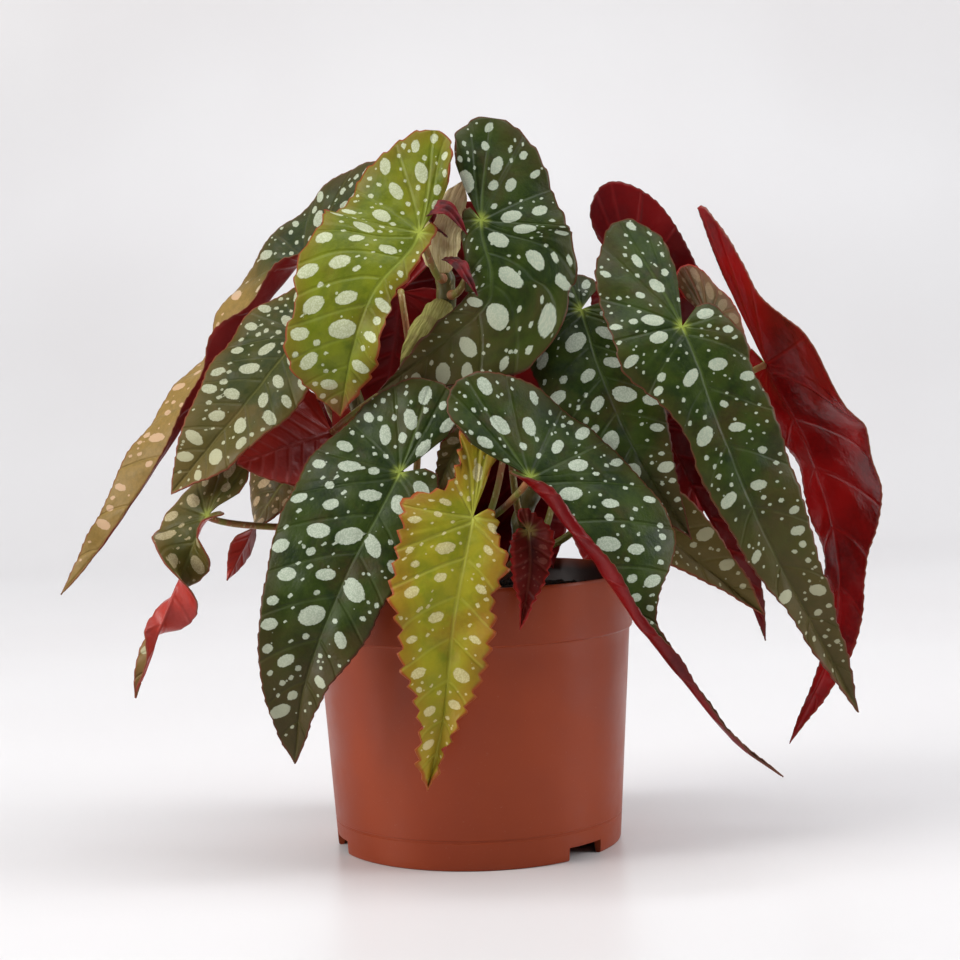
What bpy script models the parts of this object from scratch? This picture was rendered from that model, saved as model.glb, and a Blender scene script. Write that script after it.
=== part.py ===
# Potted polka dot begonia: a terracotta-coloured nursery pot, its soil, four canes,
# and the leaves with their petioles, plus the papery stipules at the cane nodes.
# All tables and driving dimensions are in millimetres; meshes are made in metres.
# X runs left to right, Y away from the front, Z up; the pot stands on Z = 0.
import math

import bmesh
import bpy
import numpy as np

MM = 0.001

# Pot
RIM_RADIUS = 60.0
BAND_HEIGHT = 20.5
BAND_STEP = 0.8
BASE_RADIUS = 53.0
POT_HEIGHT = 100.0
WALL = 1.4
SKIRT_HEIGHT = 6.0
FLOOR_THICKNESS = 1.6
NOTCH_WIDTH = 17.0
NOTCH_HEIGHT = 4.8
NOTCH_AZIMUTHS = (46.0, 166.0, -74.0)
DRAIN_RADIUS = 4.0
DRAIN_CIRCLE = 30.0
DRAIN_COUNT = 6
POT_SEGMENTS = 48

# Soil
SOIL_TOP = 91.0
SEAT_GAP = 0.3

# Blades and stalks
LEAF_THICKNESS = 0.8
PETIOLE_RADIUS = 1.4
JOINT_GAP = 0.8
WAVE_LENGTH = 34.0
TIP_FOLD = 14.0
STATIONS = 9
WIDE_FAN = 8
NARROW_FAN = 3
WIDE_STEPS = 3
NARROW_STEPS = 3
VEIN_LEAD = 0.55

# Half-blade outlines. x runs along the midrib: 1 is the tip, -1 the end of the back lobe.
# y runs out to the margin: 1 is that half's full width, below 0 is across the midrib.
WIDE_HALF = [(-0.50, -0.36), (-0.80, -0.38), (-1.00, -0.04), (-0.86, 0.40),
             (-0.50, 0.76), (0.02, 0.97), (0.17, 1.00), (0.37, 0.88), (0.54, 0.70),
             (0.69, 0.52), (0.82, 0.34), (0.92, 0.17), (1.00, 0.00)]
NARROW_HALF = [(-0.12, 0.46), (-0.08, 0.76), (0.06, 0.93), (0.20, 1.00),
               (0.37, 0.98), (0.52, 0.86), (0.65, 0.67), (0.77, 0.46), (0.87, 0.27),
               (0.94, 0.13), (1.00, 0.00)]
BRACT_HALF = [(0.00, 0.30), (0.10, 0.75), (0.30, 1.00), (0.55, 0.90), (0.80, 0.50), (1.00, 0.00)]

GREEN = (0.06, 0.12, 0.05)
OLIVE = (0.13, 0.12, 0.05)
LIME = (0.30, 0.33, 0.04)
TAN = (0.28, 0.18, 0.08)
CRIMSON = (0.22, 0.01, 0.01)
PAPER = (0.50, 0.42, 0.25)

# Canes: their path from the soil up, with the radius at foot and top.
CANES = {
    "cane_main": dict(path=[(-3, 4), (-3, 4), (-5, -4), (-7, -10)], top=214, radius=(4.2, 3.0)),
    "cane_right": dict(path=[(20, 5), (20, 5), (33, 1), (42, -2)], top=180, radius=(4.0, 2.8)),
    "cane_left": dict(path=[(-24, 8), (-24, 8), (-36, 6), (-45, 4)], top=176, radius=(4.0, 2.8)),
    "cane_front": dict(path=[(4, -28), (4, -28), (5, -32), (6, -36)], top=120, radius=(3.0, 2.4)),
}

# Leaves. lobe, at, via and tip are points of the midrib line: the end of the back lobe, the
# petiole's joint, the blade's course and the tip. face is where the upper side looks, as
# (azimuth, elevation) at the joint and at the tip, azimuth 0 to the front and 90 to the right.
# wide and narrow are the half widths, hand is the side of the wide half, rise and roll are the
# upward fold at the midrib and the downward curl out to the margin of the wide and the narrow
# half, and stem is the cane that carries the leaf and the height where its petiole starts.
# roll_tip, if given, replaces roll beyond the blade's first third, and fold is the extra
# upward fold towards the tip. taper and taper_narrow shrink that half between two shares of the
# length to a share of its width, and cross scales the back lobe's reach over the midrib's line.
LEAVES = {
    "leaf_top_center": dict(
        lobe=(12, -15, 266), at=(7, -30, 228), via=[(10, -36, 208), (4, -37, 194)], tip=(-32, -30, 168),
        face=((8, 25), (10, 15)), wide=31, narrow=9, hand=1, rise=(6, 4), roll=(15, 60),
        wave=1.5, color=GREEN, stem=("cane_main", 203)),
    "leaf_top_left": dict(
        lobe=(-9, -25, 261), at=(-15, -35, 224), via=[(-31, -44, 204), (-39, -44, 184)], tip=(-45, -34, 160),
        face=((-10, 28), (-12, 10)), wide=35, narrow=6, hand=-1, cross=0.6, rise=(8, 6), roll=(15, 20),
        taper=(0.5, 0.85, 1.45), taper_narrow=(0.25, 0.65, 2.3),
        wave=2.0, color=LIME, stem=("cane_main", 209)),
    "leaf_back_left": dict(
        lobe=(-31, 22, 256), at=(-60, 16, 220), via=[(-80, 12, 196), (-104, 6, 162), (-133, 0, 120)],
        tip=(-154, 0, 96), face=((-28, 40), (-56, 44), (-24, 32), (-16, 30)), wide=24, narrow=9, hand=-1, rise=(6, 68),
        roll=(10, -20), fold=5, taper_narrow=(0.3, 0.62, 0.3), wave=2.0, color=TAN, stem=("cane_left", 160)),
    "leaf_left_upper": dict(
        lobe=(-44, -8, 212), at=(-60, -13, 190), via=[(-78, -20, 168)], tip=(-107, -28, 134),
        face=((-25, 35), (-30, 15)), wide=27, narrow=19, hand=-1, rise=(8, 8), roll=(15, 20),
        taper_narrow=(0.45, 0.85, 1.7), wave=2.0, color=OLIVE, stem=("cane_left", 150)),
    "leaf_left": dict(
        lobe=(-82, -24, 147), at=(-94, -30, 126), via=[(-104, -36, 104), (-112, -38, 84)], tip=(-121, -36, 62),
        face=((-30, 20), (-20, 8), (60, 0), (150, -10), (-150, -5), (-60, 0), (-30, 0), (-25, 0)),
        wide=19, narrow=12, hand=-1, rise=(6, 50), roll=(30, -20), fold=10, taper=(0.0, 0.3, 0.72), taper_narrow=(0.1, 0.4, 0.55), wave=2.0, color=OLIVE, stem=("cane_left", 118)),
    "leaf_front_left": dict(
        lobe=(-12, -42, 172), at=(-24, -51, 140), via=[(-43, -58, 106), (-58, -60, 70)], tip=(-63, -58, 41),
        face=((-12, 30), (-10, 5)), wide=34, narrow=18, hand=-1, rise=(8, 6), roll=(20, 20),
        wave=1.5, color=GREEN, stem=("cane_main", 132)),
    "leaf_front_young": dict(
        lobe=(5, -54, 155), at=(1, -63, 125), via=[(-6, -72, 93), (-11, -74, 57)], tip=(-17, -72, 33),
        face=((0, 15), (0, 0)), wide=22, narrow=12, hand=-1, crown=0.5, rise=(14, 14), roll=(10, 10),
        wave=1.5, color=LIME, stem=("cane_front", 112)),
    "leaf_front_right": dict(
        lobe=(0, -52, 173), at=(21, -62, 138), via=[(38, -70, 116), (57, -74, 88), (83, -74, 52)],
        tip=(104, -70, 34), face=((15, 30), (20, 10)), wide=34, narrow=11, hand=1, rise=(8, 20),
        roll=(20, -130), fold=30, taper=(0.32, 0.5, 0.14), wave=1.5, color=GREEN, stem=("cane_main", 118)),
    "leaf_right_inner": dict(
        lobe=(4, -28, 172), at=(17, -33, 152), via=[(36, -38, 137), (72, -42, 112)], tip=(103, -42, 86),
        face=((15, 30), (10, 10)), wide=24, narrow=12, hand=1, rise=(8, 6), roll=(20, 20),
        wave=1.5, color=GREEN, stem=("cane_right", 118)),
    "leaf_right_center": dict(
        lobe=(38, -13, 209), at=(42, -22, 196), via=[(49, -33, 170), (60, -42, 143)], tip=(77, -48, 114),
        face=((10, 30), (5, 10)), wide=24, narrow=18, hand=-1, rise=(8, 6), roll=(30, 15),
        wave=1.5, color=GREEN, stem=("cane_right", 160)),
    "leaf_right_large": dict(
        lobe=(57, -20, 227), at=(76, -45, 188), via=[(88, -52, 152), (103, -50, 114), (125, -40, 72)],
        tip=(137, -34, 49), face=((10, 20), (15, 5)), wide=27, narrow=19, hand=-1, rise=(4, 8),
        roll=(20, 10), roll_tip=(50, 10), taper=(0.0, 0.25, 0.5), wave=1.5, color=OLIVE, stem=("cane_right", 164, 80)),
    "leaf_far_right": dict(
        lobe=(90, 20, 235), at=(113, 9, 174), via=[(128, 12, 144), (138, 10, 108), (136, 4, 70)],
        tip=(118, 4, 31), face=((125, 15), (145, 0)), wide=37, narrow=9, hand=-1, cross=0.3, crown=0.42,
        rise=(8, 8), roll=(40, 20), taper=(0.3, 0.6, 0.4), wave=2.0, color=CRIMSON, stem=("cane_right", 150)),
    "leaf_back_right_upper": dict(
        lobe=(58, 34, 247), at=(66, 38, 208), via=[(77, 50, 178), (86, 60, 146)], tip=(93, 64, 112),
        face=((180, 20), (170, 5)), wide=27, narrow=20, hand=-1, rise=(6, 6), roll=(20, 20),
        wave=2.0, color=CRIMSON, stem=("cane_right", 140)),
    "leaf_back_right_side": dict(
        lobe=(84, 20, 213), at=(92, 19, 193), via=[(100, 20, 171), (105, 24, 146)], tip=(108, 30, 112),
        face=((30, 30), (20, 10)), wide=18, narrow=12, hand=1, rise=(8, 6), roll=(25, 25),
        wave=1.5, color=TAN, stem=("cane_right", 128, 140)),
    "leaf_right_folded": dict(
        lobe=(65, -14, 167), at=(70, -17, 154), via=[(83, -21, 126), (96, -25, 100)], tip=(105, -29, 75),
        face=((80, 40), (80, 20)), wide=16, narrow=12, hand=-1, rise=(62, 62), roll=(0, 0), fold=0,
        wave=1.0, color=CRIMSON, stem=("cane_right", 108)),
    "leaf_left_folded": dict(
        lobe=(-41, -6, 158), at=(-50, -10, 154), via=[(-67, -20, 149)], tip=(-83, -32, 144),
        face=((170, -5), (165, 0)), wide=27, narrow=22, hand=-1, rise=(-25, 20), roll=(0, 0), fold=0,
        wave=1.0, color=CRIMSON, stem=("cane_main", 176, -60)),
    "leaf_left_small": dict(
        lobe=(-62, 3, 152), at=(-68, 1, 138), via=[(-79, -2, 122)], tip=(-91, -5, 100),
        face=((-20, 20), (-150, 10)), wide=16, narrow=10, hand=-1, rise=(6, 6), roll=(20, 20),
        wave=1.5, color=OLIVE, stem=("cane_left", 134)),
    "leaf_inner_back": dict(
        lobe=(-22, 18, 226), at=(-24, 15, 206), via=[(-28, 20, 182)], tip=(-33, 21, 153),
        face=((180, 20), (180, 5)), wide=26, narrow=18, hand=1, rise=(6, 6), roll=(20, 20),
        wave=2.0, color=CRIMSON, stem=("cane_left", 128)),
    "leaf_front_red": dict(
        lobe=(19, -50, 127), at=(20, -54, 119), via=[(20, -60, 105)], tip=(16, -65, 86),
        face=((5, 20), (5, 5)), wide=7, narrow=5, hand=1, rise=(20, 20), roll=(10, 10),
        wave=1.0, color=CRIMSON, stem=("cane_front", 100)),
    "leaf_center_red": dict(
        lobe=(0, -40, 160), at=(2, -42, 153), via=[(-5, -46, 146)], tip=(-12, -46, 132),
        face=((-10, 20), (-10, 0)), wide=9, narrow=6, hand=1, rise=(20, 20), roll=(10, 10),
        wave=1.0, color=CRIMSON, stem=("cane_main", 144)),
    "leaf_back_center": dict(
        lobe=(4, 26, 240), at=(4, 36, 214), via=[(4, 56, 186), (6, 72, 156)], tip=(8, 80, 112),
        face=((180, 45), (180, 10)), wide=34, narrow=20, hand=1, rise=(8, 8), roll=(25, 20),
        wave=2.0, color=GREEN, stem=("cane_main", 180)),
    "leaf_back_left_low": dict(
        lobe=(-36, 42, 190), at=(-44, 48, 168), via=[(-58, 62, 140), (-64, 70, 108)], tip=(-66, 72, 72),
        face=((-160, 45), (-160, 10)), wide=30, narrow=18, hand=-1, rise=(8, 8), roll=(25, 20),
        wave=2.0, color=GREEN, stem=("cane_left", 140, 180)),
    "leaf_back_right_low": dict(
        lobe=(34, 44, 186), at=(42, 50, 164), via=[(54, 64, 134), (58, 70, 102)], tip=(60, 72, 64),
        face=((160, 45), (160, 10)), wide=30, narrow=18, hand=1, rise=(8, 8), roll=(25, 20),
        wave=2.0, color=OLIVE, stem=("cane_right", 106)),
    "leaf_back_low": dict(
        lobe=(10, 25, 160), at=(14, 31, 146), via=[(19, 38, 126), (25, 43, 110)], tip=(32, 46, 96),
        face=((180, 35), (180, 5)), wide=23, narrow=12, hand=1, rise=(8, 8), roll=(20, 20),
        taper=(0.3, 0.75, 1.9), taper_narrow=(0.35, 0.8, 2.4), wave=1.5, color=GREEN, stem=("cane_main", 112)),
}

# Stipules: papery sheaths at the cane nodes, given like leaves but with even halves.
STIPULES = {
    "stipule_top": dict(
        at=(-8, -14.4, 211), via=[(-7, -18, 226)], tip=(1, -17, 244),
        face=((0, 0), (0, 0)), wide=9, narrow=9, hand=1, rise=(0, 0), roll=(70, 70), color=PAPER),
    "stipule_hanging": dict(
        at=(-7.2, -12.3, 201), via=[(-13, -20, 189)], tip=(-24, -23, 172),
        face=((0, 10), (0, 0)), wide=8, narrow=8, hand=1, rise=(0, 0), roll=(60, 60), color=PAPER),
    "stipule_front": dict(
        at=(2.2, -35, 112), via=[(-3, -37, 124)], tip=(-10, -42, 140),
        face=((-90, 0), (-50, 0)), wide=6, narrow=6, hand=1, rise=(0, 0), roll=(50, 50), color=PAPER),
}


def clear_scene():
    for item in list(bpy.data.objects):
        bpy.data.objects.remove(item, do_unlink=True)


def material(name, color, roughness):
    made = bpy.data.materials.new(name)
    made.use_nodes = True
    shader = made.node_tree.nodes["Principled BSDF"]
    shader.inputs["Base Color"].default_value = (*color, 1.0)
    shader.inputs["Roughness"].default_value = roughness
    shader.inputs["Metallic"].default_value = 0.0
    return made


def add_object(name, bm, color, roughness=0.5):
    # Wraps a bmesh in a smooth-shaded object with its own material.
    mesh = bpy.data.meshes.new(name)
    bm.to_mesh(mesh)
    bm.free()
    mesh.shade_smooth()
    mesh.set_sharp_from_angle(angle=math.radians(40.0))
    mesh.materials.append(material(name, color, roughness))
    made = bpy.data.objects.new(name, mesh)
    bpy.context.collection.objects.link(made)
    return made


def unit(vectors):
    return vectors / np.linalg.norm(vectors, axis=-1, keepdims=True)


def smoothstep(low, high, x):
    t = np.clip((x - low) / (high - low), 0.0, 1.0)
    return t * t * (3.0 - 2.0 * t)


def curve_through(points, count):
    # Catmull-Rom curve through the points, read at evenly spaced lengths.
    p = np.asarray(points, float)
    p = np.vstack([2.0 * p[0] - p[1], p, 2.0 * p[-1] - p[-2]])
    t = np.linspace(0.0, 1.0, 24, endpoint=False)[:, None]
    spans = []
    for a, b, c, d in zip(p[:-3], p[1:-2], p[2:-1], p[3:]):
        spans.append(0.5 * (2.0 * b + (c - a) * t + (2.0 * a - 5.0 * b + 4.0 * c - d) * t ** 2
                            + (3.0 * b - a - 3.0 * c + d) * t ** 3))
    dense = np.vstack(spans + [p[-2:-1]])
    run = np.concatenate([[0.0], np.cumsum(np.linalg.norm(np.diff(dense, axis=0), axis=1))])
    at = np.linspace(0.0, run[-1], count)
    return np.stack([np.interp(at, run, dense[:, k]) for k in range(p.shape[1])], axis=1)


def direction(azimuth, elevation):
    a, e = math.radians(azimuth), math.radians(elevation)
    return np.array([math.sin(a) * math.cos(e), -math.cos(a) * math.cos(e), math.sin(e)])


def midrib(leaf):
    # The spine's points with their stations (0 at the petiole), tangents, normals and the
    # unit vectors towards the wide half.
    back = leaf.get("lobe", tuple(2 * a - b for a, b in zip(leaf["at"], leaf["via"][0])))
    line = curve_through([back, leaf["at"], *leaf["via"], leaf["tip"]], 161)
    station = np.linspace(0.0, np.linalg.norm(np.diff(line, axis=0), axis=1).sum(), 161)
    station -= station[np.argmin(np.linalg.norm(line - np.array(leaf["at"], float), axis=1))]
    tangent = unit(np.gradient(line, axis=0))
    share = np.clip(station / station[-1], 0.0, 1.0)
    looks = np.array([direction(*face) for face in leaf["face"]])
    knots = np.linspace(0.0, 1.0, len(looks))
    normal = np.stack([np.interp(share, knots, looks[:, k]) for k in range(3)], axis=1)
    normal = unit(normal - tangent * np.sum(normal * tangent, axis=1, keepdims=True))
    return line, station, tangent, normal, np.cross(normal, tangent) * leaf["hand"]


def bend(leaf, frame, x, y):
    # Places flat blade coordinates in space: x along the midrib, y out over the wide half.
    # Across the midrib the blade follows an arc that starts at the rise and turns by the roll.
    line, station, _, normal, side = frame
    at = [np.stack([np.interp(x, station, v[:, k]) for k in range(3)], axis=-1) for v in (line, normal, side)]
    length = station[-1]
    past = smoothstep(-0.12 * length, 0.08 * length, x)
    wide = y >= 0.0
    tipward = leaf.get("fold", TIP_FOLD) * smoothstep(0.4, 0.75, x / length)
    rise = np.radians(np.where(wide, *leaf["rise"]) * past + tipward)
    far = smoothstep(0.05, 0.35, x / length)
    rolls = [np.radians(a + (b - a) * far) for a, b in zip(leaf["roll"], leaf.get("roll_tip", leaf["roll"]))]
    wide_turn, narrow_turn = rolls[0] / leaf["wide"], rolls[1] / leaf["narrow"]
    turn = np.where(wide, wide_turn, wide_turn + (narrow_turn - wide_turn) * past)
    turn = np.where(np.abs(turn) < 1e-6, 1e-6, turn)
    reach = np.abs(y)
    out = (np.sin(rise) - np.sin(rise - turn * reach)) / turn * np.sign(y)
    up = (np.cos(rise - turn * reach) - np.cos(rise)) / turn
    half = np.where(wide, leaf["wide"], leaf["narrow"])
    wave = leaf.get("wave", 0.0) * (reach / half) ** 2 * np.sin(2.0 * math.pi * x / WAVE_LENGTH + 2.0 * wide)
    return at[0] + at[2] * out[..., None] + at[1] * (up + wave)[..., None]


def half_blade(leaf, outline, width, taper, lobe, length, stations, fan, steps):
    # Flat grid of one half: fan rungs spread from the petiole's joint round the back lobe,
    # then one rung leaves the midrib at each station with the veins' slant.
    edge = curve_through([(px * (length if px > 0.0 else lobe), py * width) for px, py in outline], 240)
    start, end, share = leaf.get(taper, (0.9, 1.0, 1.0))
    edge[:, 1] *= 1.0 - (1.0 - share) * smoothstep(start, end, edge[:, 0] / length)
    edge[:, 1] *= 1.0 - (1.0 - leaf.get("crown", 1.0)) * smoothstep(0.0, 0.4, -edge[:, 0] / max(lobe, 1.0))
    edge[:, 1] = np.where(edge[:, 1] < 0.0, edge[:, 1] * leaf.get("cross", 1.0), edge[:, 1])
    slant = edge[:, 0] - VEIN_LEAD * edge[:, 1]
    first = np.nonzero(slant <= 0.0)[0][-1]
    climb = np.maximum.accumulate(slant[first:])
    places = first + np.interp(stations, climb, np.arange(len(climb)))
    places = np.concatenate([np.linspace(0.0, first, fan, endpoint=False), places])
    places[-1] = len(edge) - 1
    rim = np.stack([np.interp(places, np.arange(len(edge)), edge[:, k]) for k in range(2)], axis=1)
    root = np.concatenate([np.zeros(fan), stations])
    u = np.linspace(0.0, 1.0, steps + 1)
    return root[:, None] * (1.0 - u) + rim[:, :1] * u, rim[:, 1:] * u


def blade(name, leaf, wide_outline, narrow_outline, lobe):
    # A leaf or a stipule: both halves bent into shape, welded along the midrib, made solid.
    frame = midrib(leaf)
    length = frame[1][-1]
    stations = length * np.linspace(0.0, 1.0, STATIONS + 1)
    bm = bmesh.new()
    halves = ((wide_outline, leaf["wide"], "taper", WIDE_FAN if lobe else 1, WIDE_STEPS, 1.0),
              (narrow_outline, leaf["narrow"], "taper_narrow", NARROW_FAN if lobe else 1, NARROW_STEPS, -1.0))
    for outline, width, taper, fan, steps, sign in halves:
        x, y = half_blade(leaf, outline, width, taper, lobe, length, stations, fan, steps)
        points = bend(leaf, frame, x, y * sign) * MM
        grid = [[bm.verts.new(p) for p in row] for row in points]
        for a, b in zip(grid[:-1], grid[1:]):
            for k in range(steps):
                around = (a[k], a[k + 1], b[k + 1], b[k])
                bm.faces.new(around if sign * leaf["hand"] < 0.0 else around[::-1])
    bmesh.ops.remove_doubles(bm, verts=bm.verts, dist=1e-6)
    bmesh.ops.triangulate(bm, faces=bm.faces)
    made = add_object(name, bm, leaf["color"], 0.45)
    solid = made.modifiers.new("Thickness", "SOLIDIFY")
    solid.thickness = LEAF_THICKNESS * MM
    solid.offset = 0.0


def tube(name, path, radii, sides, color):
    # A closed tube along the path, its radius going evenly from the first to the last value.
    centers = np.asarray(path, float)
    tangent = unit(np.gradient(centers, axis=0))
    radius = np.interp(np.linspace(0, 1, len(centers)), np.linspace(0, 1, len(radii)), radii)
    guide = np.cross(tangent[0], (0.3, 1.0, 0.2))
    turns = np.arange(sides) * 2.0 * math.pi / sides
    bm = bmesh.new()
    rings = []
    for center, along, r in zip(centers, tangent, radius):
        guide = unit(guide - along * (guide @ along))
        other = np.cross(along, guide)
        ring = center + r * (np.cos(turns)[:, None] * guide + np.sin(turns)[:, None] * other)
        rings.append([bm.verts.new(p * MM) for p in ring])
    for a, b in zip(rings[:-1], rings[1:]):
        for k in range(sides):
            bm.faces.new((a[k], a[(k + 1) % sides], b[(k + 1) % sides], b[k]))
    bm.faces.new(rings[0][::-1])
    bm.faces.new(rings[-1])
    bmesh.ops.recalc_face_normals(bm, faces=bm.faces)
    return add_object(name, bm, color, 0.5)


def cane_line(cane):
    heights = np.linspace(SOIL_TOP + 2.0 * SEAT_GAP, cane["top"], len(cane["path"]))
    return curve_through([(x, y, z) for (x, y), z in zip(cane["path"], heights)], 12)


def petiole(name, leaf):
    # The stalk arches from its cane's side to the underside of the blade at the joint.
    cane_name, height, *leave = leaf["stem"]
    line = cane_line(CANES[cane_name])
    start = np.array([np.interp(height, line[:, 2], line[:, k]) for k in range(3)])
    frame = midrib(leaf)
    joint = np.argmin(np.abs(frame[1]))
    normal = frame[3][joint]
    end = frame[0][joint] - normal * (0.5 * LEAF_THICKNESS + JOINT_GAP)
    level = direction(leave[0], 0.0) if leave else unit((end - start) * (1.0, 1.0, 0.0))
    start = start + level * (np.interp(height, line[[0, -1], 2], CANES[cane_name]["radius"]) + JOINT_GAP)
    span = np.linalg.norm(end - start)
    first = start + level * 0.35 * span
    last = end - normal * min(0.35 * span, 12.0)
    t = np.linspace(0.0, 1.0, 8)[:, None]
    path = (1 - t) ** 3 * start + 3 * t * (1 - t) ** 2 * first + 3 * t ** 2 * (1 - t) * last + t ** 3 * end
    tube(name, path, (PETIOLE_RADIUS, PETIOLE_RADIUS * 0.85), 6, (0.25, 0.16, 0.05))


def turned(bm, profile, segments):
    # Spins a closed (radius, height) profile once round Z.
    verts = [bm.verts.new((r * MM, 0.0, z * MM)) for r, z in profile]
    edges = [bm.edges.new((a, b)) for a, b in zip(verts, verts[1:] + verts[:1])]
    bmesh.ops.spin(bm, geom=verts + edges, cent=(0, 0, 0), axis=(0, 0, 1),
                   angle=2.0 * math.pi, steps=segments, use_merge=True)
    bmesh.ops.remove_doubles(bm, verts=bm.verts, dist=1e-6)
    bmesh.ops.recalc_face_normals(bm, faces=bm.faces)


def wall_radius(z):
    # Outer radius of the pot's body below the rim band.
    band_foot = POT_HEIGHT - BAND_HEIGHT
    return BASE_RADIUS + (RIM_RADIUS - BAND_STEP - 1.0 - BASE_RADIUS) * z / band_foot


def cutter(name, bm):
    made = add_object(name, bm, (1.0, 1.0, 1.0))
    made.hide_render = True
    made.display_type = "WIRE"
    return made


def cut(target, tool):
    step = target.modifiers.new(tool.name, "BOOLEAN")
    step.operation = "DIFFERENCE"
    step.object = tool


def notch_cutter(azimuth):
    # A flared block through the skirt, wider at the floor.
    bm = bmesh.new()
    bmesh.ops.create_cube(bm, size=1.0)
    for v in bm.verts:
        flare = 1.0 if v.co.z > 0.0 else 1.25
        v.co = (v.co.x * 16.0 * MM, v.co.y * NOTCH_WIDTH * flare * MM, v.co.z * 2.0 * NOTCH_HEIGHT * MM)
    made = cutter(f"cut_notch_{azimuth:.0f}", bm)
    angle = math.radians(azimuth)
    made.location = (BASE_RADIUS * math.sin(angle) * MM, -BASE_RADIUS * math.cos(angle) * MM, 0.0)
    made.rotation_euler = (0.0, 0.0, angle - math.pi / 2.0)
    return made


def drain_cutter(index):
    bm = bmesh.new()
    bmesh.ops.create_cone(bm, cap_ends=True, segments=16, radius1=DRAIN_RADIUS * MM,
                          radius2=DRAIN_RADIUS * MM, depth=4.0 * FLOOR_THICKNESS * MM)
    made = cutter(f"cut_drain_{index}", bm)
    angle = 2.0 * math.pi * index / DRAIN_COUNT
    made.location = (DRAIN_CIRCLE * math.cos(angle) * MM, DRAIN_CIRCLE * math.sin(angle) * MM, SKIRT_HEIGHT * MM)
    return made


def pot():
    band_foot = POT_HEIGHT - BAND_HEIGHT
    floor_top = SKIRT_HEIGHT + FLOOR_THICKNESS
    band_lip = RIM_RADIUS - BAND_STEP
    outer = [(0.0, SKIRT_HEIGHT), (BASE_RADIUS - 2.6, SKIRT_HEIGHT), (BASE_RADIUS - 2.0, 0.0),
             (BASE_RADIUS, 0.0), (wall_radius(10.0), 10.0), (wall_radius(band_foot), band_foot),
             (band_lip, band_foot), (RIM_RADIUS, POT_HEIGHT - 1.0), (RIM_RADIUS - 0.4, POT_HEIGHT)]
    inner = [(RIM_RADIUS - WALL, POT_HEIGHT), (band_lip - WALL - 1.0, band_foot),
             (wall_radius(floor_top) - WALL, floor_top), (0.0, floor_top)]
    bm = bmesh.new()
    turned(bm, outer + inner, POT_SEGMENTS)
    made = add_object("pot", bm, (0.33, 0.09, 0.04), 0.45)
    for azimuth in NOTCH_AZIMUTHS:
        cut(made, notch_cutter(azimuth))
    for index in range(DRAIN_COUNT):
        cut(made, drain_cutter(index))


def soil():
    floor_top = SKIRT_HEIGHT + FLOOR_THICKNESS
    foot, top = floor_top + SEAT_GAP, SOIL_TOP
    band_foot = POT_HEIGHT - BAND_HEIGHT
    inside = RIM_RADIUS - BAND_STEP - WALL - 1.0 - SEAT_GAP
    profile = [(0.0, foot), (wall_radius(foot) - WALL - SEAT_GAP, foot), (inside, band_foot),
               (inside, top), (0.0, top)]
    bm = bmesh.new()
    turned(bm, profile, 32)
    add_object("potting_soil", bm, (0.015, 0.011, 0.009), 0.9)


def build():
    clear_scene()
    pot()
    soil()
    for name, cane in CANES.items():
        tube(name, cane_line(cane), cane["radius"], 10, (0.20, 0.17, 0.05))
    for name, leaf in LEAVES.items():
        lobe = math.dist(leaf["lobe"], leaf["at"])
        blade(name, leaf, WIDE_HALF, NARROW_HALF, lobe)
        petiole("petiole" + name[4:], leaf)
    for name, stipule in STIPULES.items():
        blade(name, stipule, BRACT_HALF, BRACT_HALF, 0.0)


build()
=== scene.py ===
# Looks of a potted polka dot begonia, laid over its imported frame.
# Lengths in the tables are millimetres; X is right, -Y the front, Z up.
import math

import bmesh
import bpy
import numpy as np
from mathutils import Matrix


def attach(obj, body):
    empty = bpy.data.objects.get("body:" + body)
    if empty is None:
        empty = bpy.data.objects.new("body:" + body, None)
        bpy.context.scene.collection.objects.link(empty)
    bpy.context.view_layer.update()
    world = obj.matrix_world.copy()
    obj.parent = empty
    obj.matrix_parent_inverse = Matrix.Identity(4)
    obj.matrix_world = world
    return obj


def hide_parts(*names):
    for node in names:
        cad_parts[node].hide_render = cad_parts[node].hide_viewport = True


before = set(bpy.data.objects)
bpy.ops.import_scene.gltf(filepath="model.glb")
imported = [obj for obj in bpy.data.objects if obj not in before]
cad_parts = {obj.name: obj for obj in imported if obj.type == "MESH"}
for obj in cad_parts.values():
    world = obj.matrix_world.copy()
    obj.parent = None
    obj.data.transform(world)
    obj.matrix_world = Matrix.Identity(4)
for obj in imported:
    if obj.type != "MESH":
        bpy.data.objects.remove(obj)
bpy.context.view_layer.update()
mm = 0.001


def hexLinear(code):
    # sRGB hex to the linear values a shader wants: ((c + 0.055) / 1.055) ^ 2.4 above the toe
    parts = np.array([int(code[i:i + 2], 16) / 255.0 for i in (1, 3, 5)])
    linear = np.where(parts <= 0.04045, parts / 12.92, ((parts + 0.055) / 1.055) ** 2.4)
    return (*linear.tolist(), 1.0)


def unitRows(rows):
    # each row divided by its own length
    return rows / np.maximum(np.linalg.norm(rows, axis=-1, keepdims=True), 1e-12)


def smoothStep(low, high, x):
    # 3t^2 - 2t^3 between low and high
    t = np.clip((x - low) / (high - low), 0.0, 1.0)
    return t * t * (3.0 - 2.0 * t)


def direction(azimuth, elevation):
    # azimuth 0 looks to the front (-Y), 90 to the right (+X)
    a, e = math.radians(azimuth), math.radians(elevation)
    return np.array([math.sin(a) * math.cos(e), -math.cos(a) * math.cos(e), math.sin(e)])


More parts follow.
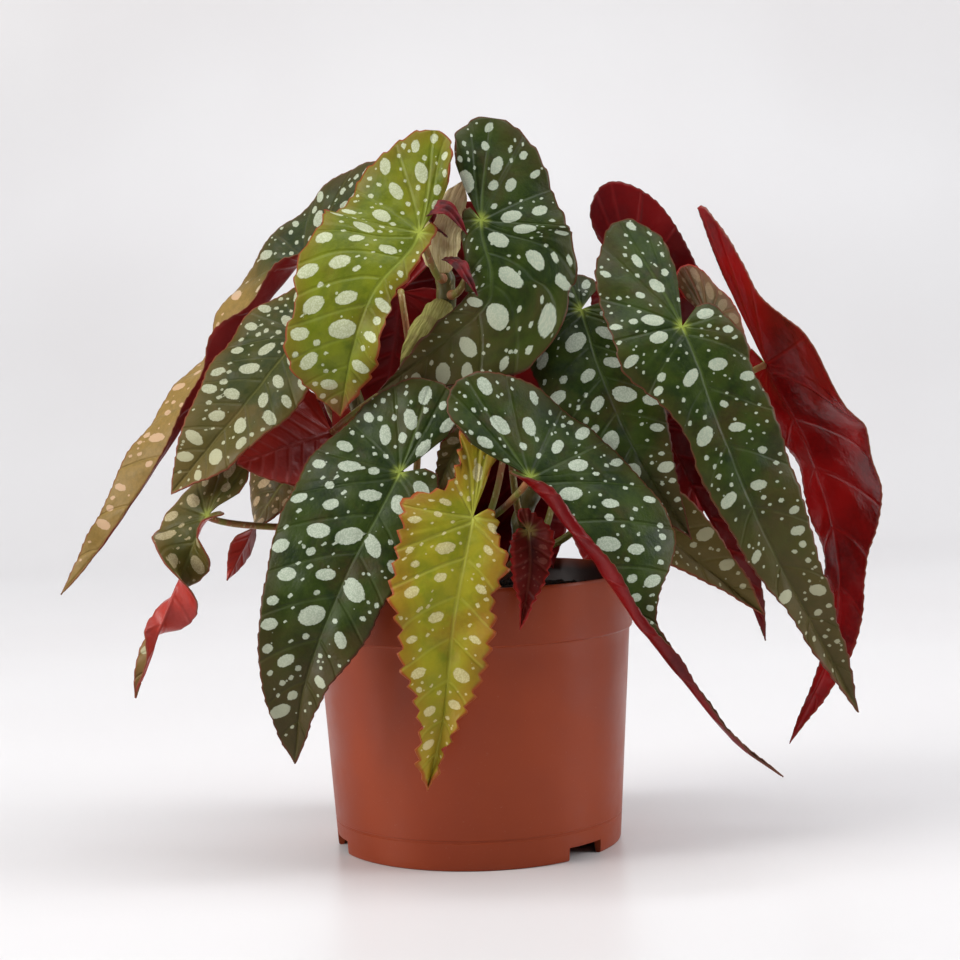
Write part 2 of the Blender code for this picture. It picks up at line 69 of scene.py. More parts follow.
def curveThrough(points, count):
    # Catmull-Rom curve through the points, read at even steps of its length
    p = np.asarray(points, float)
    p = np.vstack([2 * p[0] - p[1], p, 2 * p[-1] - p[-2]])
    t = np.linspace(0.0, 1.0, 24, endpoint=False)[:, None]
    spans = []
    for a, b, c, d in zip(p[:-3], p[1:-2], p[2:-1], p[3:]):
        spans.append(0.5 * (2 * b + (c - a) * t + (2 * a - 5 * b + 4 * c - d) * t ** 2
                            + (3 * b - a - 3 * c + d) * t ** 3))
    dense = np.vstack(spans + [p[-2:-1]])
    run = np.concatenate([[0.0], np.cumsum(np.linalg.norm(np.diff(dense, axis=0), axis=1))])
    at = np.linspace(0.0, run[-1], count)
    return np.stack([np.interp(at, run, dense[:, k]) for k in range(p.shape[1])], axis=1)


def softNoise(x, y, cell, seed):
    # value noise: random heights on a square lattice, eased between its corners, -1 to 1
    gx, gy = x / cell, y / cell
    ix, iy = np.floor(gx), np.floor(gy)
    fx, fy = gx - ix, gy - iy
    fx, fy = fx * fx * (3 - 2 * fx), fy * fy * (3 - 2 * fy)

    def corner(i, j):
        # the usual sine hash of a lattice point
        scrambled = np.sin(i * 12.9898 + j * 78.233 + seed * 37.719) * 43758.5453
        return 2.0 * np.modf(np.abs(scrambled))[0] - 1.0

    low = corner(ix, iy) * (1 - fx) + corner(ix + 1, iy) * fx
    high = corner(ix, iy + 1) * (1 - fx) + corner(ix + 1, iy + 1) * fx
    return low * (1 - fy) + high * fy


def gridFaces(rows, columns, wrapRows=False, wrapColumns=False):
    # quads of a rows x columns grid; a wrap joins the last row or column to the first
    ids = np.arange(rows * columns).reshape(rows, columns)
    if wrapRows:
        ids = np.vstack([ids, ids[:1]])
    if wrapColumns:
        ids = np.hstack([ids, ids[:, :1]])
    return np.stack([ids[:-1, :-1], ids[:-1, 1:], ids[1:, 1:], ids[1:, :-1]], axis=-1).reshape(-1, 4)


def makePiece(name, points, faces, materials, values=None, flat=None, weld=True):
    # points in mm; values are named numbers, one a vertex; flat is the uv pair of each vertex in mm
    mesh = bpy.data.meshes.new(name)
    mesh.from_pydata((np.asarray(points, float) * mm).tolist(), [],
                     [list(map(int, face)) for face in faces])
    for key, numbers in (values or {}).items():
        layer = mesh.attributes.new(key, "FLOAT", "POINT")
        layer.data.foreach_set("value", np.asarray(numbers, np.float32).ravel())
    if flat is not None:
        layer = mesh.uv_layers.new(name="bladeFlat")
        corners = np.empty(len(mesh.loops), np.int32)
        mesh.loops.foreach_get("vertex_index", corners)
        layer.data.foreach_set("uv", (np.asarray(flat, np.float32) * 0.01)[corners].ravel())
    if weld:
        bm = bmesh.new()
        bm.from_mesh(mesh)
        bmesh.ops.remove_doubles(bm, verts=bm.verts, dist=2e-6)
        bmesh.ops.dissolve_degenerate(bm, edges=bm.edges, dist=1e-7)
        bm.to_mesh(mesh)
        bm.free()
    mesh.shade_smooth()
    for item in materials:
        mesh.materials.append(item)
    piece = bpy.data.objects.new(name, mesh)
    bpy.context.scene.collection.objects.link(piece)
    return piece


def settle(piece, slotName, *nodes):
    # the piece stands for these CAD nodes, if any, and rides on the one body
    if nodes:
        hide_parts(*nodes)
    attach(piece, "root")


# materials

flatSpan = 100.0  # mm of blade that one unit of its flat map stands for
eased = dict(interpolation_type="SMOOTHSTEP")
rgba = dict(data_type="RGBA")


def addNode(tree, kind, inputs=None, output=0, **settings):
    # a new node; each input takes a number, a colour or another node's output
    node = tree.nodes.new("ShaderNode" + kind)
    for key, value in settings.items():
        setattr(node, key, value)
    for key, value in (inputs or {}).items():
        if isinstance(value, bpy.types.NodeSocket):
            tree.links.new(value, node.inputs[key])
        else:
            node.inputs[key].default_value = value
    return node.outputs[output]


def startMaterial(name, roughness, specular=0.5, ior=1.45):
    # a new material's node tree, its Principled shader and the material itself
    made = bpy.data.materials.new(name)
    made.use_nodes = True
    shader = made.node_tree.nodes["Principled BSDF"]
    shader.inputs["Roughness"].default_value = roughness
    shader.inputs["IOR"].default_value = ior
    shader.inputs["Specular IOR Level"].default_value = specular
    return made.node_tree, shader, made


def paintOver(tree, color, *layers):
    # layer = (source, from, to, share at from, share at to, paint):
    # color * (1 - share) + paint * share, the share eased by 3t^2 - 2t^3
    for source, low, high, lowShare, highShare, paint in layers:
        share = addNode(tree, "MapRange", {0: source, 1: low, 2: high, 3: lowShare, 4: highShare}, **eased)
        color = addNode(tree, "Mix", {0: share, 6: color, 7: hexLinear(paint)}, 2, **rgba)
    return color


def finishSkin(tree, shader, color, height, strength, depth):
    # the colour, and a relief of this depth in metres, onto the shader
    tree.links.new(color, shader.inputs["Base Color"])
    bump = addNode(tree, "Bump", {"Height": height, "Strength": strength, "Distance": depth})
    tree.links.new(bump, shader.inputs["Normal"])


def flatPlace(tree):
    # place on the flat blade in mm, x along the midrib
    uv = addNode(tree, "UVMap", uv_map="bladeFlat")
    return addNode(tree, "VectorMath", {0: uv, 3: flatSpan}, operation="SCALE")


def bladeGaps(tree):
    # flat place, and the mm to the nearest vein, to the margin and to the joint
    place = flatPlace(tree)
    phase, pitch, margin = [addNode(tree, "Attribute", output=2, attribute_name=key)
                            for key in ("veinPhase", "veinPitch", "marginGap")]
    side = addNode(tree, "Math", {0: phase, 1: 0.5}, operation="PINGPONG")
    side = addNode(tree, "Math", {0: side, 1: pitch}, operation="MULTIPLY")
    rib = addNode(tree, "SeparateXYZ", {0: place}, 1)
    rib = addNode(tree, "Math", {0: rib}, operation="ABSOLUTE")
    nearest = addNode(tree, "Math", {0: side, 1: rib}, operation="MINIMUM")
    reach = addNode(tree, "VectorMath", {0: place}, 1, operation="LENGTH")
    return place, side, rib, nearest, margin, reach


def bladeTop(name, look):
    # Fresh begonia blade, upper side: thin waxy skin over green cells, with silver air-filled
    # ovals under it. Gives a satin, mottled green with sharp pale ovals and a fine red margin.
    tree, shader, made = startMaterial(name, look["roughness"], 0.18)
    place, side, rib, nearest, margin, reach = bladeGaps(tree)

    # green ground in two tones with brown flushes about 24 mm wide, then cells of 2.5 mm
    blotch, flush, cells = [
        addNode(tree, "TexNoise", {"Vector": place, "Scale": 1 / size, "Detail": detail,
                                   "Roughness": rough, "Distortion": twist})
        for size, detail, rough, twist in (
            (15.0, 3.0, 0.6, 0.0), (24.0, 4.0, 0.65, 0.6), (2.5, 4.0, 0.7, 0.0))]
    color = paintOver(tree, hexLinear(look["deep"]),
                      (blotch, 0.36, 0.64, 0.0, 1.0, look["ground"]),
                      (flush, 0.45, 0.72, 0.0, look["flushShare"], look["flush"]),
                      (cells, 0.4, 0.75, 0.0, 0.35, look["cell"]),
                      (margin, 0.0, 8.0, look["outerShare"], 0.0, look["outer"]))

    # ripening towards the tip, its front uneven by about 12 mm; on the tan and bronze finishes
    # this brown is painted light, the colour of a blade lit from behind
    uneven = 12.0
    start, end = look["ripeSpan"]
    along = addNode(tree, "SeparateXYZ", {0: place}, 0)
    along = addNode(tree, "Math", {0: flush, 1: 2 * uneven, 2: along}, operation="MULTIPLY_ADD")
    ripe = addNode(tree, "MapRange", {0: along, 1: start + uneven, 2: end + uneven}, **eased)
    mottled = addNode(tree, "MapRange", {0: cells, 1: 0.3, 2: 0.75, 3: 1.0, 4: 0.7}, **eased)
    share = addNode(tree, "Math", {0: ripe, 1: mottled}, operation="MULTIPLY")
    color = addNode(tree, "Mix", {0: share, 6: color, 7: hexLinear(look["ripe"])}, 2, **rgba)

    # side veins under 1 mm wide, midrib a little wider, and the pale star at the joint
    color = paintOver(tree, color, (side, 0.1, 0.8, look["veinShare"], 0.0, look["vein"]))
    for mask, fade, paint in (
            ((rib, 0.2, 0.9, 1.0, 0.0), (reach, 5.0, 45.0, 0.5, look["veinShare"]), look["vein"]),
            ((nearest, 0.15, 0.9, 1.0, 0.3), (reach, 0.6, 4.5, 0.9, 0.0), look["star"])):
        mask, fade = [addNode(tree, "MapRange", dict(enumerate(row)), **eased) for row in (mask, fade)]
        share = addNode(tree, "Math", {0: mask, 1: fade}, operation="MULTIPLY")
        color = addNode(tree, "Mix", {0: share, 6: color, 7: hexLinear(paint)}, 2, **rgba)

    # silver ovals, their outline uneven by about 0.2 mm, and specks of 0.3 to 0.7 mm among them
    field = addNode(tree, "Attribute", output=2, attribute_name="spotField")
    ragged = addNode(tree, "TexNoise", {"Vector": place, "Scale": 1 / 1.3, "Detail": 2.0})
    field = addNode(tree, "Math", {0: ragged, 1: 0.7, 2: field}, operation="MULTIPLY_ADD")
    ovals = addNode(tree, "MapRange", {0: field, 1: 0.22, 2: 0.5}, **eased)
    grain = addNode(tree, "TexVoronoi", {"Vector": place, "Scale": 1 / 3.4}).node.outputs
    lottery = addNode(tree, "SeparateColor", {0: grain[1]})
    size = addNode(tree, "Math", {0: lottery, 1: 0.26, 2: -look["dotThin"]}, operation="MULTIPLY_ADD")
    size = addNode(tree, "Math", {0: size, 1: grain[0]}, operation="SUBTRACT")
    speck = addNode(tree, "MapRange", {0: size, 1: -0.02, 2: 0.03, 4: 0.9}, **eased)
    clear = addNode(tree, "MapRange", {0: nearest, 1: 0.5, 2: 1.1}, **eased)
    speck = addNode(tree, "Math", {0: speck, 1: clear}, operation="MULTIPLY")
    mask = addNode(tree, "Math", {0: ovals, 1: speck}, operation="MAXIMUM")
    crackle = addNode(tree, "TexVoronoi", {"Vector": place, "Scale": 1 / 0.55})
    silver = paintOver(tree, hexLinear(look["spot"]), (crackle, 0.25, 0.7, 0.0, 1.0, look["spotShade"]))
    silver = addNode(tree, "Mix", {0: ripe, 6: silver, 7: hexLinear(look["ripeSpot"])}, 2, **rgba)
    share = addNode(tree, "Math", {0: mask, 1: look["spotShare"]}, operation="MULTIPLY")
    color = addNode(tree, "Mix", {0: share, 6: color, 7: silver}, 2, **rgba)
    color = paintOver(tree, color, (margin, 0.15, 0.7, look["edgeShare"], 0.0, look["edge"]))

    # satin, uneven over 6 mm and duller on the ovals; veins sunk, cells of 1 mm raised
    patch = addNode(tree, "TexNoise", {"Vector": place, "Scale": 1 / 6.0, "Detail": 2.0})
    rough = addNode(tree, "MapRange", {0: patch, 1: 0.3, 2: 0.7, 3: look["roughness"] - 0.05,
                                       4: look["roughness"] + 0.08}, **eased)
    rough = addNode(tree, "Math", {0: mask, 1: 0.08, 2: rough}, operation="MULTIPLY_ADD")
    tree.links.new(rough, shader.inputs["Roughness"])
    fine = addNode(tree, "TexNoise", {"Vector": place, "Scale": 1.0, "Detail": 2.0, "Roughness": 0.6})
    height = addNode(tree, "MapRange", {0: nearest, 1: 0.0, 2: 1.0}, **eased)
    for layer, weight in ((fine, 0.4), (patch, 0.9)):
        height = addNode(tree, "Math", {0: layer, 1: weight, 2: height}, operation="MULTIPLY_ADD")
    finishSkin(tree, shader, color, height, 0.6, 0.0005)
    return made


def bladeUnder(name, look):
    # The same blade from beneath: red pigment under a smooth skin, glossier than the top,
    # its veins standing out a little paler.
    tree, shader, made = startMaterial(name, look["underRoughness"], look["underGloss"])
    place, side, rib, nearest, margin, reach = bladeGaps(tree)
    blotch, cells, patch = [
        addNode(tree, "TexNoise", {"Vector": place, "Scale": 1 / size, "Detail": detail,
                                   "Roughness": rough})
        for size, detail, rough in ((34.0, 2.0, 0.5), (1.8, 3.0, 0.65), (5.0, 2.0, 0.5))]
    # on the far right blade's finish the lighter red blotches are painted light shining through the blade
    color = paintOver(tree, hexLinear(look["under"]),
                      (blotch, 0.25, 0.75, 0.0, 1.0, look["underLight"]),
                      (cells, 0.35, 0.75, 0.0, 0.3, look["underLight"]),
                      (nearest, 0.1, 0.9, 0.3, 0.0, look["underVein"]),
                      (margin, 0.2, 1.0, 0.4, 0.0, look["edge"]))
    height = addNode(tree, "MapRange", {0: nearest, 1: 0.0, 2: 1.2, 3: 0.8, 4: 0.0}, **eased)
    for layer, weight in ((cells, 0.4), (patch, 1.3)):
        height = addNode(tree, "Math", {0: layer, 1: weight, 2: height}, operation="MULTIPLY_ADD")
    finishSkin(tree, shader, color, height, 0.6, 0.0005)
    return made


bladeLooks = {
    "green": dict(
        ground="#334214", deep="#1d2c0e", cell="#425219", flush="#47391c", flushShare=0.6, outer="#4a3f1e",
        outerShare=0.35, ripe="#4c4024", ripeSpan=(45.0, 100.0), ripeSpot="#b5b79c", vein="#56682f",
        veinShare=0.07, star="#93a142", spot="#c3cbb8", spotShade="#aab6a0", spotShare=0.95, dotThin=0.06,
        edge="#6d2f26", edgeShare=0.6, roughness=0.4, under="#450306", underLight="#74090d",
        underVein="#85211d", underRoughness=0.31, underGloss=0.26),
    "olive": dict(
        ground="#404318", deep="#2c3512", cell="#504f1f", flush="#64502a", flushShare=0.6, outer="#6e562d",
        outerShare=0.45, ripe="#66562c", ripeSpan=(25.0, 70.0), ripeSpot="#b5b08c", vein="#6d6c36",
        veinShare=0.1, star="#98a145", spot="#bcbfa2", spotShade="#a6a98c", spotShare=0.92, dotThin=0.05,
        edge="#8c3f30", edgeShare=0.7, roughness=0.42, under="#6a0c10", underLight="#9a1c1e",
        underVein="#a23c34", underRoughness=0.33, underGloss=0.3),
    "lime": dict(
        ground="#747d1a", deep="#586514", cell="#858c22", flush="#80661f", flushShare=0.35, outer="#83661f",
        outerShare=0.5, ripe="#78522c", ripeSpan=(60.0, 74.0), ripeSpot="#b59a78", vein="#8e993c",
        veinShare=0.18, star="#a5b046", spot="#cdd2b2", spotShade="#b9bf98", spotShare=0.94, dotThin=0.07,
        edge="#8e3524", edgeShare=0.85, roughness=0.4, under="#7a1a14", underLight="#97301e",
        underVein="#a85a34", underRoughness=0.35, underGloss=0.3),
    # tan: the brown ripening over nearly the whole blade and its pinkish-tan ovals are painted light, a
    # blade lit from behind
    "tan": dict(
        ground="#37401c", deep="#232e14", cell="#484c20", flush="#4a3a20", flushShare=0.6, outer="#5c4a28",
        outerShare=0.4, ripe="#94773f", ripeSpan=(2.0, 30.0), ripeSpot="#c9a684", vein="#7c743c",
        veinShare=0.1, star="#8f8a44", spot="#bcc2ab", spotShade="#a6ad93", spotShare=0.9, dotThin=0.05,
        edge="#7c3c2c", edgeShare=0.6, roughness=0.42, under="#5c0a0c", underLight="#86201e",
        underVein="#944034", underRoughness=0.33, underGloss=0.3),
    "crimson": dict(
        ground="#4a1512", deep="#340d0b", cell="#5c2016", flush="#6a3a20", flushShare=0.5, outer="#7c1f18",
        outerShare=0.6, ripe="#6a1a16", ripeSpan=(10.0, 30.0), ripeSpot="#a8685a", vein="#7f4030",
        veinShare=0.2, star="#8c7a40", spot="#a8685a", spotShade="#965a4c", spotShare=0.35, dotThin=0.12,
        edge="#a3261f", edgeShare=0.85, roughness=0.4, under="#4c0206", underLight="#7a0a0c",
        underVein="#8e2222", underRoughness=0.33, underGloss=0.3),
}
# the same on older or younger blades, and on blades with painted light shining through them
# (bronze, and the far right blade's bright red underneath): the finish each starts from, and what differs
for key, start, changes in (
    ("moss", "green", dict(
        ripe="#574a28", ripeSpan=(45.0, 120.0), ripeSpot="#adab8c", spot="#bcc2ab")),
    ("mossTip", "moss", dict(
        ripe="#574b26", ripeSpan=(20.0, 72.0))),
    # bronze: the brown ground and tan ripening are painted light, a blade lit from behind
    ("bronze", "olive", dict(
        ground="#625626", deep="#4a4a20", ripe="#86683c", ripeSpan=(20.0, 45.0), spot="#b9ab86",
        spotShade="#a5966f", under="#94221c", underLight="#bf463a")),
    ("brick", "olive", dict(
        ground="#5c4a26", deep="#453a1c", spot="#b09a78", spotShade="#9c8664", under="#861a14",
        underLight="#b8382c")),
    ("russet", "crimson", dict(
        ground="#5c4b26", deep="#453a1e", cell="#6d562d", outer="#70402a", ripe="#5c4526",
        ripeSpot="#a88e6a", spot="#b09a78", spotShade="#9c8664")),
    ("garnet", "green", dict(
        under="#4c0206", underLight="#7a0a0c", underVein="#8e2222", underRoughness=0.33, underGloss=0.3)),
    # its bright red underneath (underLight) is painted light: light from the right shining through the blade
    ("scarlet", "olive", dict(
        under="#4c0204", underLight="#ad1012", underVein="#a81a1a", underRoughness=0.25, underGloss=0.42)),
    ("young", "lime", dict(
        ground="#979020", deep="#7c801b", cell="#a59c28", flush="#96641f", flushShare=0.5, outer="#92501f",
        ripe="#a08a26", ripeSpan=(45.0, 95.0), ripeSpot="#d2c08c", vein="#aeac42", veinShare=0.3,
        star="#b8bb4a", spot="#d2ca98", spotShade="#c0b480", spotShare=0.85, edge="#9c3420", edgeShare=0.75,
        under="#8a2416", underLight="#a83c20")),
):
    bladeLooks[key] = bladeLooks[start] | changes
bladeMaterials = {
    key: (bladeTop(f"begoniaBladeTop_{key}", look), bladeUnder(f"begoniaBladeUnder_{key}", look))
    for key, look in bladeLooks.items()}
print("blade finishes:", ", ".join(bladeMaterials))


def stalkSkin(name, low, high, fleck, stretch):
    # Fresh stalk: smooth green skin flushed with red, with pale corky flecks about 1 mm long.
    tree, shader, made = startMaterial(name, 0.4)
    where = addNode(tree, "TexCoord", output=3)
    drawn = addNode(tree, "Mapping", {0: where, "Scale": (1.0, 1.0, stretch)})
    tone = addNode(tree, "TexNoise", {"Vector": drawn, "Scale": 1000 / 9.0, "Detail": 3.0,
                                      "Roughness": 0.6})
    corky = addNode(tree, "TexNoise", {"Vector": drawn, "Scale": 1000 / 1.1, "Detail": 1.0})
    color = paintOver(tree, hexLinear(low),
                      (tone, 0.38, 0.62, 0.0, 1.0, high), (corky, 0.62, 0.72, 0.0, 0.8, fleck))
    finishSkin(tree, shader, color, corky, 0.5, 0.0004)
    return made


caneSkin = stalkSkin("begoniaCaneSkin", "#4b4a20", "#6b6434", "#948b5c", 0.5)
petioleSkin = stalkSkin("begoniaPetioleSkin", "#8a8a3e", "#a06a44", "#bcb47c", 0.4)


def paperyHusk(name, low, high, blot):
    # Dried stipule: thin straw-coloured tissue with lengthwise veins 0.6 mm apart, matt.
    tree, shader, made = startMaterial(name, 0.62, 0.3)
    place = flatPlace(tree)
    drawn = addNode(tree, "Mapping", {0: place, "Scale": (0.12, 1.0, 1.0)})
    streak = addNode(tree, "TexNoise", {"Vector": drawn, "Scale": 1 / 0.6, "Detail": 3.0, "Roughness": 0.6})
    blotch = addNode(tree, "TexNoise", {"Vector": place, "Scale": 1 / 7.0, "Detail": 3.0})
    color = paintOver(tree, hexLinear(low),
                      (streak, 0.35, 0.65, 0.0, 1.0, high), (blotch, 0.5, 0.75, 0.0, 0.5, blot))
    finishSkin(tree, shader, color, streak, 0.8, 0.0004)
    return made


def redBractSkin():
    # Young bract: smooth and deep red, in blotches of 4 mm.
    tree, shader, made = startMaterial("youngBractSkin", 0.55, 0.3)
    tone = addNode(tree, "TexNoise", {"Vector": flatPlace(tree), "Scale": 1 / 4.0, "Detail": 3.0})
    color = paintOver(tree, hexLinear("#3e0608"), (tone, 0.35, 0.65, 0.0, 1.0, "#78151a"))
    finishSkin(tree, shader, color, tone, 0.6, 0.0006)
    return made


def mouldedPlastic():
    # Injection-moulded polypropylene, pigmented through: satin, with a fine eroded mould
    # texture (real grain 0.1 mm, drawn at 0.35 mm to show), handling smears and pale dust; the
    # inner wall above the soil carries painted shade, near black.
    tree, shader, made = startMaterial("mouldedPolypropylene", 0.38, 0.3, 1.49)
    where = addNode(tree, "TexCoord", output=3)
    tone, dust, smear, fine, broad = [
        addNode(tree, "TexNoise", {"Vector": where, "Scale": 1000 / size, "Detail": detail,
                                   "Roughness": rough})
        for size, detail, rough in (
            (45.0, 3.0, 0.55), (0.8, 2.0, 0.7), (22.0, 4.0, 0.6), (0.35, 2.0, 0.6), (14.0, 2.0, 0.5))]
    color = paintOver(tree, hexLinear("#873210"),
                      (tone, 0.3, 0.7, 0.0, 1.0, "#913915"),
                      (dust, 0.66, 0.78, 0.0, 0.2, "#b98a74"))

    # painted shade on the inner wall, in metres: inside a radius of 59 mm and from 85 mm up,
    # strong to about 95 mm and weak at the rim (level is the height plus about 6 mm of noise)
    x, y, z = addNode(tree, "SeparateXYZ", {0: where}).node.outputs
    across = addNode(tree, "Math", {0: x, 1: x}, operation="MULTIPLY")
    across = addNode(tree, "Math", {0: y, 1: y, 2: across}, operation="MULTIPLY_ADD")
    across = addNode(tree, "Math", {0: across}, operation="SQRT")
    level = addNode(tree, "Math", {0: tone, 1: 0.012, 2: z}, operation="MULTIPLY_ADD")
    inner, paintedShadeLevel, above = [
        addNode(tree, "MapRange", dict(enumerate(row)), **eased)
        for row in (
            (across, 0.0582, 0.0594, 1.0, 0.0), (level, 0.101, 0.106, 0.92, 0.25), (z, 0.083, 0.087))]
    share = addNode(tree, "Math", {0: inner, 1: paintedShadeLevel}, operation="MULTIPLY")
    share = addNode(tree, "Math", {0: share, 1: above}, operation="MULTIPLY")
    # painted shade: the inner wall above the soil mixed towards near black #1a100c
    color = addNode(tree, "Mix", {0: share, 6: color, 7: hexLinear("#1a100c")}, 2, **rgba)
    rough = addNode(tree, "MapRange", {0: smear, 1: 0.35, 2: 0.7, 3: 0.34, 4: 0.46}, **eased)
    tree.links.new(rough, shader.inputs["Roughness"])
    height = addNode(tree, "Math", {0: fine, 1: 0.12, 2: broad}, operation="MULTIPLY_ADD")
    finishSkin(tree, shader, color, height, 0.4, 0.0003)
    return made


def peatMix():
    # Moist peat: near black and dull, in crumbs of 1 to 4 mm with brown fibres.
    tree, shader, made = startMaterial("moistPeatMix", 0.9, 0.3, 1.4)
    where = addNode(tree, "TexCoord", output=3)
    grit = addNode(tree, "TexNoise", {"Vector": where, "Scale": 1000 / 2.0, "Detail": 4.0,
                                      "Roughness": 0.7})
    color = paintOver(tree, hexLinear("#0d0907"), (grit, 0.35, 0.72, 0.0, 1.0, "#33241a"))
    finishSkin(tree, shader, color, grit, 0.9, 0.0012)
    return made


def whitePaper():
    # Background sheet: smooth white laminate, so things standing on it mirror faintly.
    tree, shader, made = startMaterial("whiteLaminate", 0.32)
    where = addNode(tree, "TexCoord", output=3)
    tone = addNode(tree, "TexNoise", {"Vector": where, "Scale": 2.5})
    color = paintOver(tree, hexLinear("#dedbdb"), (tone, 0.3, 0.7, 0.0, 1.0, "#e2e0e0"))
    tree.links.new(color, shader.inputs["Base Color"])
    return made


# blades

# Outlines of the two halves: along the midrib (1 is the tip, -1 the end of the back lobe) and
# out over the half (1 is its full width, below 0 is across the midrib's line).
wideHalf = [(-0.50, -0.36), (-0.80, -0.38), (-1.00, -0.04), (-0.86, 0.40),
            (-0.50, 0.76), (0.02, 0.97), (0.17, 1.00), (0.37, 0.88), (0.54, 0.70),
            (0.69, 0.52), (0.82, 0.34), (0.92, 0.17), (1.00, 0.00)]
narrowHalf = [(-0.12, 0.46), (-0.08, 0.76), (0.06, 0.93), (0.20, 1.00),
              (0.37, 0.98), (0.52, 0.86), (0.65, 0.67), (0.77, 0.46), (0.87, 0.27),
              (0.94, 0.13), (1.00, 0.00)]
bractHalf = [(0.00, 0.30), (0.10, 0.75), (0.30, 1.00), (0.55, 0.90), (0.80, 0.50), (1.00, 0.00)]

# veinLead is how far the side veins run forward, veinBow how much they bow; rung and step are the
# grid's spacing along and across, puff the height of the cells and puffReach its width; quilt and
# ripple are two noises on top (height and size)
bladeShape = dict(thickness=0.5, waveLength=34.0, tipFold=14.0, veinLead=0.55, veinBow=0.035, rung=0.95,
                  step=1.3, puff=0.4, puffReach=3.6, quilt=(0.8, 13.0), ripple=(0.35, 6.0),
                  teeth=(0.35, 4.0), toothGain=1.6, toothRoot=7)
# the ovals: mm between them along a row, half length and half width, how much they turn (radians)
# and thin out towards the margin; then the dots: tries, their half lengths and the odds of each
ovalShape = dict(rowGap=12.5, long=5.1, short=3.05, turn=0.22, shrink=0.42, marginGap=0.9, jointGap=5.5,
                 clearance=1.3, dotTries=260, dots=[1.9, 1.2, 0.75], dotOdds=[0.16, 0.34, 0.5])
# where the main veins leave: below 0 round the back lobe, 0 to 1 along the midrib
veinStarts = {"wide": [-1.0, -0.80, -0.58, -0.36, -0.16, 0.02, 0.15, 0.29, 0.44, 0.59, 0.73, 0.86, 1.0],
              "narrow": [-1.0, -0.45, 0.02, 0.15, 0.29, 0.44, 0.59, 0.73, 0.86, 1.0]}
